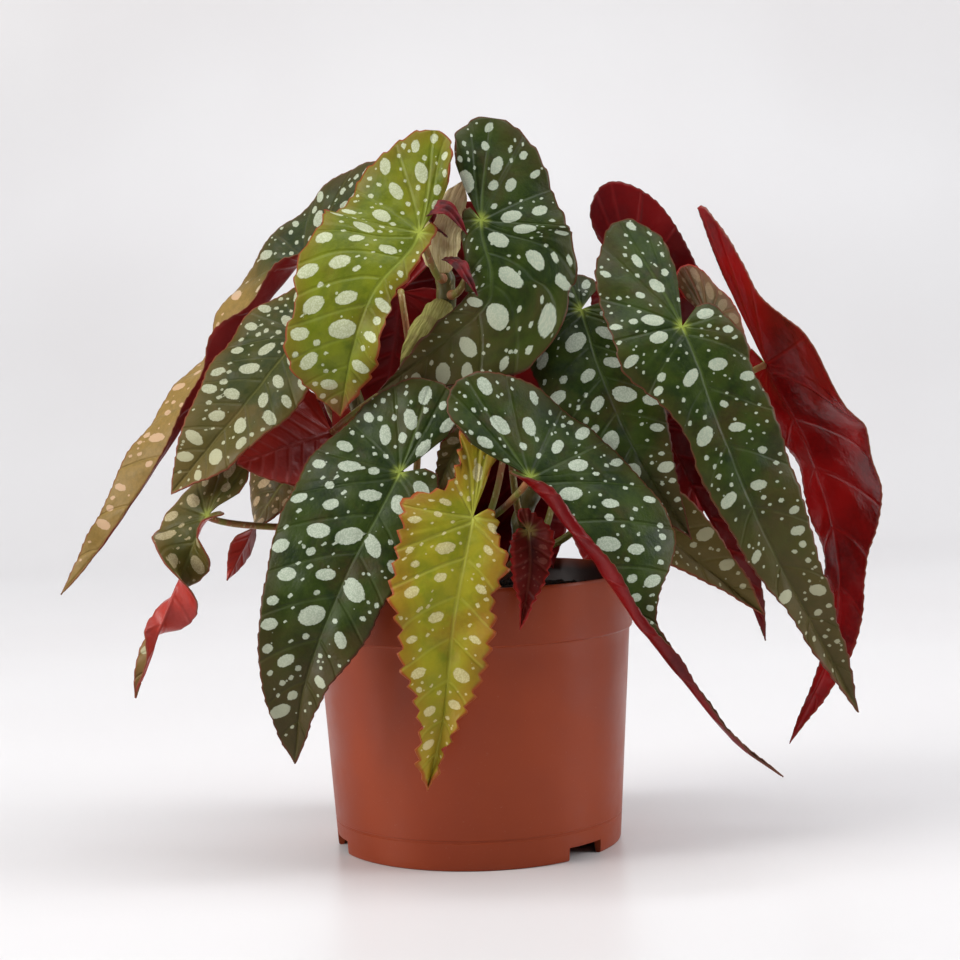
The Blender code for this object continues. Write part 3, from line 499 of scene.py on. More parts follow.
# lobe, at, via and tip are points of the midrib: the back lobe's end, the joint, the course and
# the tip. face is where the upper side looks at the joint and at the tip (azimuth, elevation).
# wide and narrow are half widths, hand the side of the wide half, rise and roll fold and curl the
# two halves (degrees), taper thins a half towards the tip (from, to, share left), stem is the cane,
# the height where the petiole leaves it and its azimuth there. What only shows close up: finish
# where it isn't the slot's, the margin's teeth (depth and pitch), the size of the ovals (spots) and
# how strongly the cells are raised (relief).
# what most blades have, unless their own row says otherwise
usualBlade = dict(hand=-1, rise=(8, 6), roll=(20, 20), wave=1.5)
leaves = {
    "leaf_top_center": dict(
        lobe=(12, -15, 266), at=(7, -30, 228), via=[(10, -36, 208), (4, -37, 194)], tip=(-32, -30, 168),
        face=((8, 25), (10, 15)), wide=31, narrow=9, hand=1, rise=(6, 4), roll=(15, 60), look="green",
        finish="mossTip", teeth=(0.7, 9.0), stem=("cane_main", 203)),
    "leaf_top_left": dict(
        lobe=(-9, -25, 261), at=(-15, -35, 224), via=[(-31, -44, 204), (-39, -44, 184)],
        tip=(-45, -34, 160), face=((-10, 28), (-12, 10)), wide=35, narrow=6, cross=0.6, roll=(15, 20),
        taper=(0.5, 0.85, 1.45), taperNarrow=(0.25, 0.65, 2.3), wave=2.0, look="lime", teeth=(0.9, 7.0),
        stem=("cane_main", 209)),
    "leaf_back_left": dict(
        lobe=(-31, 22, 256), at=(-60, 16, 220), via=[(-80, 12, 196), (-104, 6, 162), (-133, 0, 120)],
        tip=(-154, 0, 96), face=((-28, 40), (-56, 44), (-24, 32), (-16, 30)), wide=24, narrow=9,
        rise=(6, 68), roll=(10, -20), fold=5, taperNarrow=(0.3, 0.62, 0.3), wave=2.0, look="tan",
        stem=("cane_left", 160)),
    "leaf_left_upper": dict(
        lobe=(-44, -8, 212), at=(-60, -13, 190), via=[(-78, -20, 168)], tip=(-107, -28, 134),
        face=((-25, 35), (-30, 15)), wide=27, narrow=19, rise=(8, 8), roll=(15, 20),
        taperNarrow=(0.45, 0.85, 1.7), wave=2.0, look="olive", stem=("cane_left", 150)),
    "leaf_left": dict(
        lobe=(-82, -24, 147), at=(-94, -30, 126), via=[(-104, -36, 104), (-112, -38, 84)],
        tip=(-121, -36, 62),
        face=((-30, 20), (-20, 8), (60, 0), (150, -10), (-150, -5), (-60, 0), (-30, 0), (-25, 0)), wide=19,
        narrow=12, rise=(6, 50), roll=(30, -20), fold=10, taper=(0.0, 0.3, 0.72),
        taperNarrow=(0.1, 0.4, 0.55), wave=2.0, look="olive", finish="bronze", stem=("cane_left", 118)),
    "leaf_front_left": dict(
        lobe=(-12, -42, 172), at=(-24, -51, 140), via=[(-43, -58, 106), (-58, -60, 70)], tip=(-63, -58, 41),
        face=((-12, 30), (-10, 5)), wide=34, narrow=18, look="green", stem=("cane_main", 132)),
    "leaf_front_young": dict(
        lobe=(5, -54, 155), at=(1, -63, 125), via=[(-6, -72, 93), (-11, -74, 57)], tip=(-17, -72, 33),
        face=((0, 15), (0, 0)), wide=22, narrow=12, crown=0.5, rise=(14, 14), roll=(10, 10), look="lime",
        finish="young", teeth=(1.9, 5.5), spots=0.72, relief=1.6, stem=("cane_front", 112)),
    "leaf_front_right": dict(
        lobe=(0, -52, 173), at=(21, -62, 138), via=[(38, -70, 116), (57, -74, 88), (83, -74, 52)],
        tip=(104, -70, 34), face=((15, 30), (20, 10)), wide=34, narrow=11, hand=1, rise=(8, 20),
        roll=(20, -130), fold=30, taper=(0.32, 0.5, 0.14), look="green", stem=("cane_main", 118)),
    "leaf_right_inner": dict(
        lobe=(4, -28, 172), at=(17, -33, 152), via=[(36, -38, 137), (72, -42, 112)], tip=(103, -42, 86),
        face=((15, 30), (10, 10)), wide=24, narrow=12, hand=1, look="green", finish="olive",
        stem=("cane_right", 118)),
    "leaf_right_center": dict(
        lobe=(38, -13, 209), at=(42, -22, 196), via=[(49, -33, 170), (60, -42, 143)], tip=(77, -48, 114),
        face=((10, 30), (5, 10)), wide=24, narrow=18, roll=(30, 15), look="green", stem=("cane_right", 160)),
    "leaf_right_large": dict(
        lobe=(57, -20, 227), at=(76, -45, 188), via=[(88, -52, 152), (103, -50, 114), (125, -40, 72)],
        tip=(137, -34, 49), face=((10, 20), (15, 5)), wide=27, narrow=19, rise=(4, 8), roll=(20, 10),
        rollTip=(50, 10), taper=(0.0, 0.25, 0.5), look="olive", finish="moss", teeth=(0.5, 6.0), spots=0.88,
        stem=("cane_right", 164, 80)),
    "leaf_far_right": dict(
        lobe=(90, 20, 235), at=(113, 9, 174), via=[(128, 12, 144), (138, 10, 108), (136, 4, 70)],
        tip=(118, 4, 31), face=((125, 15), (145, 0)), wide=37, narrow=9, crown=0.42, cross=0.3, rise=(8, 8),
        roll=(40, 20), taper=(0.3, 0.6, 0.4), wave=2.0, look="crimson", finish="scarlet", relief=0.6,
        stem=("cane_right", 150)),
    "leaf_back_right_upper": dict(
        lobe=(58, 34, 247), at=(66, 38, 208), via=[(77, 50, 178), (86, 60, 146)], tip=(93, 64, 112),
        face=((180, 20), (170, 5)), wide=27, narrow=20, rise=(6, 6), wave=2.0, look="crimson",
        finish="garnet", stem=("cane_right", 140)),
    "leaf_back_right_side": dict(
        lobe=(84, 20, 213), at=(92, 19, 193), via=[(100, 20, 171), (105, 24, 146)], tip=(108, 30, 112),
        face=((30, 30), (20, 10)), wide=18, narrow=12, hand=1, roll=(25, 25), look="tan", finish="russet",
        stem=("cane_right", 128, 140)),
    "leaf_right_folded": dict(
        lobe=(65, -14, 167), at=(70, -17, 154), via=[(83, -21, 126), (96, -25, 100)], tip=(105, -29, 75),
        face=((80, 40), (80, 20)), wide=16, narrow=12, rise=(62, 62), roll=(0, 0), fold=0, wave=1.0,
        look="crimson", finish="garnet", stem=("cane_right", 108)),
    "leaf_left_folded": dict(
        lobe=(-41, -6, 158), at=(-50, -10, 154), via=[(-67, -20, 149)], tip=(-83, -32, 144),
        face=((170, -5), (165, 0)), wide=27, narrow=22, rise=(-25, 20), roll=(0, 0), fold=0, wave=1.0,
        look="crimson", finish="brick", relief=0.5, stem=("cane_main", 176, -60)),
    "leaf_left_small": dict(
        lobe=(-62, 3, 152), at=(-68, 1, 138), via=[(-79, -2, 122)], tip=(-91, -5, 100),
        face=((-20, 20), (-150, 10)), wide=16, narrow=10, rise=(6, 6), look="olive", finish="brick",
        spots=0.8, stem=("cane_left", 134)),
    "leaf_inner_back": dict(
        lobe=(-22, 18, 226), at=(-24, 15, 206), via=[(-28, 20, 182)], tip=(-33, 21, 153),
        face=((180, 20), (180, 5)), wide=26, narrow=18, hand=1, rise=(6, 6), wave=2.0, look="crimson",
        finish="garnet", stem=("cane_left", 128)),
    "leaf_front_red": dict(
        lobe=(19, -50, 127), at=(20, -54, 119), via=[(20, -60, 105)], tip=(16, -65, 86),
        face=((5, 20), (5, 5)), wide=7, narrow=5, hand=1, rise=(20, 20), roll=(10, 10), wave=1.0,
        look="crimson", teeth=(1.0, 3.2), spots=0.5, stem=("cane_front", 100)),
    "leaf_center_red": dict(
        lobe=(0, -40, 160), at=(2, -42, 153), via=[(-5, -46, 146)], tip=(-12, -46, 132),
        face=((-10, 20), (-10, 0)), wide=9, narrow=6, hand=1, rise=(20, 20), roll=(10, 10), wave=1.0,
        look="crimson", finish="bronze", teeth=(0.8, 3.0), spots=0.5, stem=("cane_main", 144)),
    "leaf_back_center": dict(
        lobe=(4, 26, 240), at=(4, 36, 214), via=[(4, 56, 186), (6, 72, 156)], tip=(8, 80, 112),
        face=((180, 45), (180, 10)), wide=34, narrow=20, hand=1, rise=(8, 8), roll=(25, 20), wave=2.0,
        look="green", stem=("cane_main", 180)),
    "leaf_back_left_low": dict(
        lobe=(-36, 42, 190), at=(-44, 48, 168), via=[(-58, 62, 140), (-64, 70, 108)], tip=(-66, 72, 72),
        face=((-160, 45), (-160, 10)), wide=30, narrow=18, rise=(8, 8), roll=(25, 20), wave=2.0,
        look="green", stem=("cane_left", 140, 180)),
    "leaf_back_right_low": dict(
        lobe=(34, 44, 186), at=(42, 50, 164), via=[(54, 64, 134), (58, 70, 102)], tip=(60, 72, 64),
        face=((160, 45), (160, 10)), wide=30, narrow=18, hand=1, rise=(8, 8), roll=(25, 20), wave=2.0,
        look="olive", stem=("cane_right", 106)),
    "leaf_back_low": dict(
        lobe=(10, 25, 160), at=(14, 31, 146), via=[(19, 38, 126), (25, 43, 110)], tip=(32, 46, 96),
        face=((180, 35), (180, 5)), wide=23, narrow=12, hand=1, rise=(8, 8), taper=(0.3, 0.75, 1.9),
        taperNarrow=(0.35, 0.8, 2.4), look="green", stem=("cane_main", 112)),
}
leaves = {node: usualBlade | leaf for node, leaf in leaves.items()}


def spineOf(leaf):
    # midrib curve with its station (0 at the joint), tangent, upper-side normal and the
    # direction towards the wide half: side = normal x tangent x hand
    back = leaf.get("lobe", tuple(2 * a - b for a, b in zip(leaf["at"], leaf["via"][0])))
    line = curveThrough([back, leaf["at"], *leaf["via"], leaf["tip"]], 161)
    station = np.linspace(0.0, np.linalg.norm(np.diff(line, axis=0), axis=1).sum(), 161)
    station -= station[np.argmin(np.linalg.norm(line - np.array(leaf["at"], float), axis=1))]
    tangent = unitRows(np.gradient(line, axis=0))
    share = np.clip(station / station[-1], 0.0, 1.0)
    looks = np.array([direction(*face) for face in leaf["face"]])
    knots = np.linspace(0.0, 1.0, len(looks))
    normal = np.stack([np.interp(share, knots, looks[:, k]) for k in range(3)], axis=1)
    normal = unitRows(normal - tangent * np.sum(normal * tangent, axis=1, keepdims=True))
    return line, station, tangent, normal, np.cross(normal, tangent) * leaf["hand"]


def bendBlade(leaf, spine, x, y, raised):
    # out = (sin r - sin(r - k|y|)) / k and up = (cos(r - k|y|) - cos r) / k for rise r and
    # turn k, plus a wave growing with (|y| / half)^2 and the raised cells along the skin's normal
    line, station, _, normal, side = spine
    center, above, beside = [np.stack([np.interp(x, station, v[:, k]) for k in range(3)], axis=-1)
                             for v in (line, normal, side)]
    length = station[-1]
    past = smoothStep(-0.12 * length, 0.08 * length, x)
    wide = y >= 0.0
    tipward = leaf.get("fold", bladeShape["tipFold"]) * smoothStep(0.4, 0.75, x / length)
    rise = np.radians(np.where(wide, *leaf["rise"]) * past + tipward)
    far = smoothStep(0.05, 0.35, x / length)
    rolls = [np.radians(a + (b - a) * far)
             for a, b in zip(leaf["roll"], leaf.get("rollTip", leaf["roll"]))]
    wideTurn, narrowTurn = rolls[0] / leaf["wide"], rolls[1] / leaf["narrow"]
    turn = np.where(wide, wideTurn, wideTurn + (narrowTurn - wideTurn) * past)
    turn = np.where(np.abs(turn) < 1e-6, 1e-6, turn)
    reach = np.abs(y)
    out = (np.sin(rise) - np.sin(rise - turn * reach)) / turn * np.sign(y)
    up = (np.cos(rise - turn * reach) - np.cos(rise)) / turn
    half = np.where(wide, leaf["wide"], leaf["narrow"])
    swing = np.sin(2 * math.pi * x / bladeShape["waveLength"] + 2.0 * wide)
    wave = leaf["wave"] * (reach / half) ** 2 * swing
    lean = rise - turn * reach
    skin = above * np.cos(lean)[..., None] - beside * (np.sin(lean) * np.sign(y))[..., None]
    return center + beside * out[..., None] + above * (up + wave)[..., None] + skin * raised[..., None]


def sheetPiece(name, leaf, spine, halves, materials, thickness, keys=()):
    # lays each half's grid on the spine, welds the two along the midrib and thickens the sheet;
    # a half is (sign, x, y, raised, grids), its grids kept as values under the keys
    points, faces, flats, count = [], [], [], 0
    values = {key: [] for key in keys}
    for sign, x, y, raised, grids in halves:
        points.append(bendBlade(leaf, spine, x, y * sign, raised).reshape(-1, 3))
        quads = gridFaces(*x.shape) + count
        faces.append(quads[:, ::-1] if sign * leaf["hand"] > 0.0 else quads)
        flats.append(np.stack([x, y * sign], axis=-1).reshape(-1, 2))
        for key, grid in zip(keys, grids):
            values[key].append(grid.ravel())
        count += x.size
    values = {key: np.concatenate(parts) for key, parts in values.items()}
    piece = makePiece(name, np.vstack(points), np.vstack(faces), materials, values, np.vstack(flats))
    solid = piece.modifiers.new(thickness[0], "SOLIDIFY")
    solid.thickness = thickness[1] * mm
    solid.offset = 0.0
    return piece, solid


def halfChart(leaf, which, outline, lobe, length, stations, random):
    # flat chart of one half: root * (1 - u) + rim * u, the rim pushed out by the margin's teeth
    width = leaf[which]
    edge = curveThrough([(px * (length if px > 0.0 else lobe), py * width) for px, py in outline], 900)
    start, end, share = leaf.get("taper" if which == "wide" else "taperNarrow", (0.9, 1.0, 1.0))
    edge[:, 1] *= 1.0 - (1.0 - share) * smoothStep(start, end, edge[:, 0] / length)
    edge[:, 1] *= 1.0 - (1.0 - leaf.get("crown", 1.0)) * smoothStep(0.0, 0.4, -edge[:, 0] / lobe)
    edge[:, 1] = np.where(edge[:, 1] < 0.0, edge[:, 1] * leaf.get("cross", 1.0), edge[:, 1])
    slant = edge[:, 0] - bladeShape["veinLead"] * edge[:, 1]
    first = np.nonzero(slant <= 0.0)[0][-1]
    run = np.concatenate([[0.0], np.cumsum(np.linalg.norm(np.diff(edge, axis=0), axis=1))])
    fan = max(1, int(run[first] / bladeShape["rung"])) if lobe else 1
    climb = np.maximum.accumulate(slant[first:])
    places = first + np.interp(stations, climb, np.arange(len(climb)))
    places = np.concatenate([np.linspace(0.0, first, fan, endpoint=False), places])
    places[-1] = len(edge) - 1
    ids = np.arange(len(edge))
    rim = np.stack([np.interp(places, ids, edge[:, k]) for k in range(2)], axis=1)
    along = np.interp(places, ids, run)
    tangent = unitRows(np.stack([np.interp(places, ids, g) for g in np.gradient(edge, axis=0).T], axis=1))
    outward = np.stack([-tangent[:, 1], tangent[:, 0]], axis=1)
    depth, pitch = leaf.get("teeth", bladeShape["teeth"])
    gain = bladeShape["toothGain"]
    saw = np.modf(along / pitch)[0]
    push = depth * (1.0 - saw) * smoothStep(0.0, 0.25, saw) * gain
    push += depth * gain * softNoise(along, along * 0.0, 11.0, random)
    push *= smoothStep(0.0, 6.0, along) * smoothStep(0.0, 14.0, run[-1] - along)
    w = np.concatenate([np.linspace(-1.0, 0.0, fan, endpoint=False), stations / length])
    root = np.concatenate([np.zeros(fan), stations])
    reach = np.percentile(np.linalg.norm(rim - np.stack([root, root * 0], 1), axis=1), 80)
    steps = max(6, int(reach / bladeShape["step"]))
    u = np.linspace(0.0, 1.0, steps + 1) ** 0.92
    pushed = push[:, None] * u ** bladeShape["toothRoot"]
    x = root[:, None] * (1.0 - u) + rim[:, :1] * u + outward[:, :1] * pushed
    y = rim[:, 1:] * u + outward[:, 1:] * pushed
    across = np.stack([rim[:, 0] - root, rim[:, 1]], axis=1)
    square = np.abs(np.cross(unitRows(across), tangent))
    margin = (1.0 - u) * (np.linalg.norm(across, axis=1) * square)[:, None]
    return x, y, w, u, margin


def veinNumbers(x, y, w, u, starts):
    # phase counts the veins passed; pitch is the mm between neighbours, measured across them
    bent = w[:, None] - bladeShape["veinBow"] * u ** 2 * (w[:, None] > 0.0)
    phase = np.interp(bent, starts, np.arange(len(starts)))
    dx, dy = np.gradient(x, axis=0), np.gradient(y, axis=0)
    ux, uy = np.gradient(x, axis=1), np.gradient(y, axis=1)
    size = np.maximum(np.hypot(ux, uy), 1e-9)
    step = np.abs(dx * uy - dy * ux) / size
    change = np.maximum(np.abs(np.gradient(phase, axis=0)), 1e-6)
    return phase, np.minimum(step / change, 40.0)


def spotCenters(x, y, w, u, margin, starts, scale, random):
    # rows of large ovals between the veins, then smaller dots where there is room
    rng = np.random.default_rng(random)
    shape = ovalShape
    chosen = []

    def read(grid, wAt, uAt):
        row = np.interp(wAt, w, np.arange(len(w)))
        column = np.interp(uAt, u, np.arange(len(u)))
        return grid[int(round(row)), int(round(column))]

    def tryPlace(wAt, uAt, long, short):
        # stays off the margin, the joint, the other ovals and the midrib
        cx, cy = read(x, wAt, uAt), read(y, wAt, uAt)
        if read(margin, wAt, uAt) < short + shape["marginGap"]:
            return
        if np.hypot(cx, cy) < shape["jointGap"] + long:
            return
        for ox, oy, _, _, big, small in chosen:
            room = 0.8 * (long + big) * 0.5 + 0.6 * (short + small) + shape["clearance"]
            if math.hypot(cx - ox, cy - oy) < room:
                return
        rx, ry = read(x, wAt, 0.0), read(y, wAt, 0.0)
        away = np.array([cx - rx, cy - ry]) / max(math.hypot(cx - rx, cy - ry), 1e-6)
        if abs(cy) < short * 1.1 + 1.2 and wAt > 0.0:
            return
        turn = rng.normal(0.0, shape["turn"])
        away = np.array([away[0] * math.cos(turn) - away[1] * math.sin(turn),
                         away[0] * math.sin(turn) + away[1] * math.cos(turn)])
        chosen.append((cx, cy, away[0], away[1], long, short))

    for low, high in zip(starts[:-1], starts[1:]):
        middle = 0.5 * (low + high)
        span = math.hypot(*(read(grid, middle, 1.0) - read(grid, middle, 0.0) for grid in (x, y)))
        rows = max(1, int(round(span / shape["rowGap"])))
        for k in range(rows):
            uAt = (k + 0.62 + rng.uniform(-0.14, 0.14)) / rows
            size = scale * rng.uniform(0.72, 1.12) * (1.0 - shape["shrink"] * uAt)
            wAt = middle + rng.uniform(-0.18, 0.18) * (high - low)
            short = shape["short"] * size * rng.uniform(0.85, 1.15)
            tryPlace(wAt, min(uAt, 0.93), shape["long"] * size, short)
    for _ in range(shape["dotTries"]):
        wAt = rng.uniform(-0.97, 0.985)
        uAt = rng.uniform(0.08, 1.0) ** 0.6
        size = scale * rng.choice(shape["dots"], p=shape["dotOdds"]) * rng.uniform(0.85, 1.15)
        tryPlace(wAt, uAt, size, size * 0.78)
    return np.array(chosen)


def spotField(x, y, spots, outside=-9.0):
    # mm inside the nearest oval: (1 - sqrt((p/long)^2 + (q/short)^2)) * short
    if len(spots) == 0:
        return np.full(x.shape, outside)
    dx, dy = x.ravel()[:, None] - spots[:, 0], y.ravel()[:, None] - spots[:, 1]
    p = dx * spots[:, 2] + dy * spots[:, 3]
    q = dy * spots[:, 2] - dx * spots[:, 3]
    inside = (1.0 - np.hypot(p / spots[:, 4], q / spots[:, 5])) * spots[:, 5]
    return np.maximum(inside.max(axis=1), outside).reshape(x.shape)


def makeBlade(name, leaf, random):
    # raised = puff * (1 - e^-(gap / puffReach)^2) over the mm to the nearest vein, plus two noises,
    # nothing at the joint and growing over the first 5 mm
    shape = bladeShape
    spine = spineOf(leaf)
    length = spine[1][-1]
    lobe = math.dist(leaf["lobe"], leaf["at"])
    stations = length * np.linspace(0.0, 1.0, max(12, int(length / shape["rung"])) + 1)
    (quilt, quiltSize), (ripple, rippleSize) = shape["quilt"], shape["ripple"]
    halves = []
    for which, outline, sign in (("wide", wideHalf, 1.0), ("narrow", narrowHalf, -1.0)):
        starts = veinStarts[which]
        x, y, w, u, margin = halfChart(leaf, which, outline, lobe, length, stations, random + sign)
        phase, pitch = veinNumbers(x, y, w, u, starts)
        spots = spotCenters(x, y, w, u, margin, starts, leaf.get("spots", 1.0), random * 2 + (sign > 0))
        gap = np.minimum(np.abs(phase - np.round(phase)) * pitch, np.abs(y))
        raised = shape["puff"] * (1.0 - np.exp(-(gap / shape["puffReach"]) ** 2))
        raised += (quilt * u ** 2 * softNoise(x, y * sign, quiltSize, random)
                   + ripple * softNoise(x, y * sign, rippleSize, random + 5))
        raised *= smoothStep(0.0, 5.0, np.hypot(x, y)) * leaf.get("relief", 1.0)
        halves.append((sign, x, y, raised, (phase, pitch, margin, spotField(x, y, spots))))
    piece, solid = sheetPiece(name, leaf, spine, halves, bladeMaterials[leaf.get("finish", leaf["look"])],
                              ("bladeThickness", shape["thickness"]),
                              ("veinPhase", "veinPitch", "marginGap", "spotField"))
    solid.material_offset = 1  # the underside takes the second material, the rim the first
    solid.material_offset_rim = 0
    return piece


for index, (node, leaf) in enumerate(leaves.items()):
    settle(makeBlade("blade" + node[4:], leaf, 11 * index + 3), "leaf_" + leaf["look"], node)
print("blades:", len(leaves))


# canes and petioles

def tubeSurface(path, radii, sides, rounded):
    # ring = centre + r (cos t guide + sin t other) carried along the path with no twist; each
    # end closes on a point that stands out by its rounded mm
    centers = np.asarray(path, float)
    tangent = unitRows(np.gradient(centers, axis=0))
    guides = [unitRows(np.cross(tangent[0], (0.3, 1.0, 0.2)))]
    for along in tangent[1:]:
        guides.append(unitRows(guides[-1] - along * (guides[-1] @ along)))
    guide = np.array(guides)
    other = np.cross(tangent, guide)
    turns = np.linspace(0.0, 2 * math.pi, sides, endpoint=False)
    ring = np.cos(turns)[:, None] * guide[:, None] + np.sin(turns)[:, None] * other[:, None]
    points = centers[:, None] + ring * np.asarray(radii)[:, None, None]
    rows = len(centers)
    quads = gridFaces(rows, sides, wrapColumns=True)
    points = np.vstack([points.reshape(-1, 3), centers[:1] - tangent[:1] * rounded[0],
                        centers[-1:] + tangent[-1:] * rounded[1]])
    foot, top = rows * sides, rows * sides + 1
    around = np.arange(sides)
    nextOne = (around + 1) % sides
    caps = [(foot, b, a) for a, b in zip(around, nextOne)]
    last = (rows - 1) * sides
    caps += [(top, a, b) for a, b in zip(around + last, nextOne + last)]
    return points, quads.tolist() + caps


caneShape = dict(foot=91.6, swell=0.22, ring=2.5, rings=90, sides=24)
canes = {
    "cane_main": dict(path=[(-3, 4), (-3, 4), (-5, -4), (-7, -10)], top=214, radius=(4.2, 3.0)),
    "cane_right": dict(path=[(20, 5), (20, 5), (33, 1), (42, -2)], top=180, radius=(4.0, 2.8)),
    "cane_left": dict(path=[(-24, 8), (-24, 8), (-36, 6), (-45, 4)], top=176, radius=(4.0, 2.8)),
    "cane_front": dict(path=[(4, -28), (4, -28), (5, -32), (6, -36)], top=120, radius=(3.0, 2.4)),
}


def caneLine(cane, count=12):
    # Catmull-Rom curve through the path's points, which stand at even heights
    heights = np.linspace(caneShape["foot"], cane["top"], len(cane["path"]))
    return curveThrough([(x, y, z) for (x, y), z in zip(cane["path"], heights)], count)


for node, cane in canes.items():
    # radius = even taper, times 1 + swell * e^-((z - height) / ring)^2 where each petiole leaves
    line = caneLine(cane, caneShape["rings"])
    thick, thin = cane["radius"]
    radius = thick + (thin - thick) * np.linspace(0.0, 1.0, caneShape["rings"])
    for height in [leaf["stem"][1] for leaf in leaves.values() if leaf["stem"][0] == node]:
        swollen = np.exp(-((line[:, 2] - height) / caneShape["ring"]) ** 2)
        radius = radius * (1.0 + caneShape["swell"] * swollen)
    radius[-4:] *= np.array([0.97, 0.88, 0.7, 0.4])  # the cut top is rounded off
    points, faces = tubeSurface(line, radius, caneShape["sides"], (3.0, 0.5))
    settle(makePiece("stem" + node[4:], points, faces, [caneSkin], weld=False), "cane", node)


def petiolePath(leaf, count=40):
    # cubic Bezier from inside the cane to the blade's underside at the joint
    caneName, height, *leave = leaf["stem"]
    line = caneLine(canes[caneName])
    start = np.array([np.interp(height, line[:, 2], line[:, k]) for k in range(3)])
    spine = spineOf(leaf)
    joint = np.argmin(np.abs(spine[1]))
    normal = spine[3][joint]
    end = spine[0][joint] - normal * 1.2
    level = direction(leave[0], 0.0) if leave else unitRows((end - start) * (1.0, 1.0, 0.0))
    start = start + level * (np.interp(height, line[[0, -1], 2], canes[caneName]["radius"]) + 0.8)
    span = np.linalg.norm(end - start)
    first = start + level * 0.35 * span
    last = end - normal * min(0.35 * span, 12.0)
    t = np.linspace(0.0, 1.0, count)[:, None]
    path = ((1 - t) ** 3 * start + 3 * t * (1 - t) ** 2 * first
            + 3 * t ** 2 * (1 - t) * last + t ** 3 * end)
    return np.vstack([path[0] - level * 1.6, path, path[-1] + normal * 0.7])


for node, leaf in leaves.items():
    # radius = 1.4 mm falling to 1.2, flared at both ends over about 2 mm
    path = petiolePath(leaf)
    share = np.linspace(0.0, 1.0, len(path))
    run = share * np.linalg.norm(np.diff(path, axis=0), axis=1).sum()
    radius = 1.4 - 0.2 * share + 0.7 * np.exp(-run / 2.0) + 0.5 * np.exp(-(run[-1] - run) / 1.6)
    radius[-1] = 0.8
    points, faces = tubeSurface(path, radius, 16, (0.0, 0.1))
    piece = makePiece("stalk" + node[4:], points, faces, [petioleSkin], weld=False)
    settle(piece, "petiole", "petiole" + node[4:])
print("canes:", len(canes), "petioles:", len(leaves))


# stipules and bracts

huskPapers = {"straw": paperyHusk("dryStipulePaper", "#dccd8e", "#f8edb9", "#b9955f"),
              "olive": paperyHusk("greenStipulePaper", "#86853c", "#aaa65e", "#6f5a30"),
              "red": redBractSkin()}
husks = {
    "stipule_top": dict(at=(-8, -14.4, 211), via=[(-7, -18, 226)], tip=(1, -17, 244), face=((0, 0), (0, 0)),
                        wide=9, narrow=9, roll=(70, 70), paper="straw"),
    "stipule_hanging": dict(at=(-7.2, -12.3, 201), via=[(-13, -20, 189)], tip=(-24, -23, 172),
                            face=((0, 10), (0, 0)), wide=8, narrow=8, roll=(60, 60), paper="olive"),
    "stipule_front": dict(at=(2.2, -35, 112), via=[(-3, -37, 124)], tip=(-10, -42, 140),
                          face=((-90, 0), (-50, 0)), wide=6, narrow=6, roll=(50, 50), paper="olive"),
}
bracts = {
    "topBract": dict(at=(-6, -18, 224), via=[(-13, -29, 231), (-5, -35, 232)], tip=(2, -34, 223),
                     face=((0, 60), (10, 20)), wide=4.5, narrow=3.5, rise=(20, 20), roll=(60, 60),
                     paper="red"),
    "sideBract": dict(at=(-6, -20, 216), via=[(-2, -37, 213)], tip=(5, -40, 201),
                      face=((0, 60), (20, 10)), wide=3.5, narrow=3.0, rise=(20, 20), roll=(60, 60),
                      paper="red"),
}
usualHusk = dict(hand=1, rise=(0, 0), wave=0.0)
huskShape = dict(thickness=0.3, rungs=60, steps=17, pleat=0.3, pleatGap=2.6,
                 crumple=(0.5, 5.0), fray=(0.08, 3.0))  # height or share, and size


def makeHusk(name, husk, random):
    # both halves of the bract outline on their spine, pleated lengthwise:
    # raised = pleat * sin(2 pi y / pleatGap) * u, plus the crumple's noise
    shape = huskShape
    husk = usualHusk | husk
    spine = spineOf(husk)
    length = spine[1][-1]
    stations = np.linspace(0.0, length, shape["rungs"])
    u = np.linspace(0.0, 1.0, shape["steps"])
    halves = []
    for which, sign in (("wide", 1.0), ("narrow", -1.0)):
        outline = curveThrough([(px * length, py * husk[which]) for px, py in bractHalf], 240)
        rim = np.interp(stations, outline[:, 0], outline[:, 1])
        rim *= 1.0 + shape["fray"][0] * softNoise(stations, stations * 0, shape["fray"][1], random + sign)
        x = np.repeat(stations[:, None], shape["steps"], axis=1)
        y = rim[:, None] * u
        raised = (shape["pleat"] * np.sin(2 * math.pi * y / shape["pleatGap"]) * u
                  + shape["crumple"][0] * softNoise(x, y * sign, shape["crumple"][1], random))
        halves.append((sign, x, y, raised, ()))
    return sheetPiece(name, husk, spine, halves, [huskPapers[husk["paper"]]],
                      ("huskThickness", shape["thickness"]))[0]


for index, (node, husk) in enumerate(husks.items()):
    settle(makeHusk("husk" + node[7:], husk, 40 + index), "stipule", node)
for index, (name, bract) in enumerate(bracts.items()):
    settle(makeHusk(name, bract, 60 + index), "stipule")
print("stipules:", len(husks), "bracts:", len(bracts))


# pot

potSize = dict(rim=60.0, bandHeight=20.5, bandStep=0.8, foot=53.0, height=100.0, wall=1.4, skirt=6.0,
               floor=1.6, notchWidth=17.0, notchHeight=4.8, notches=(46.0, 166.0, -74.0),
               drainRadius=4.0, drainCircle=30.0, drains=6, columns=288)


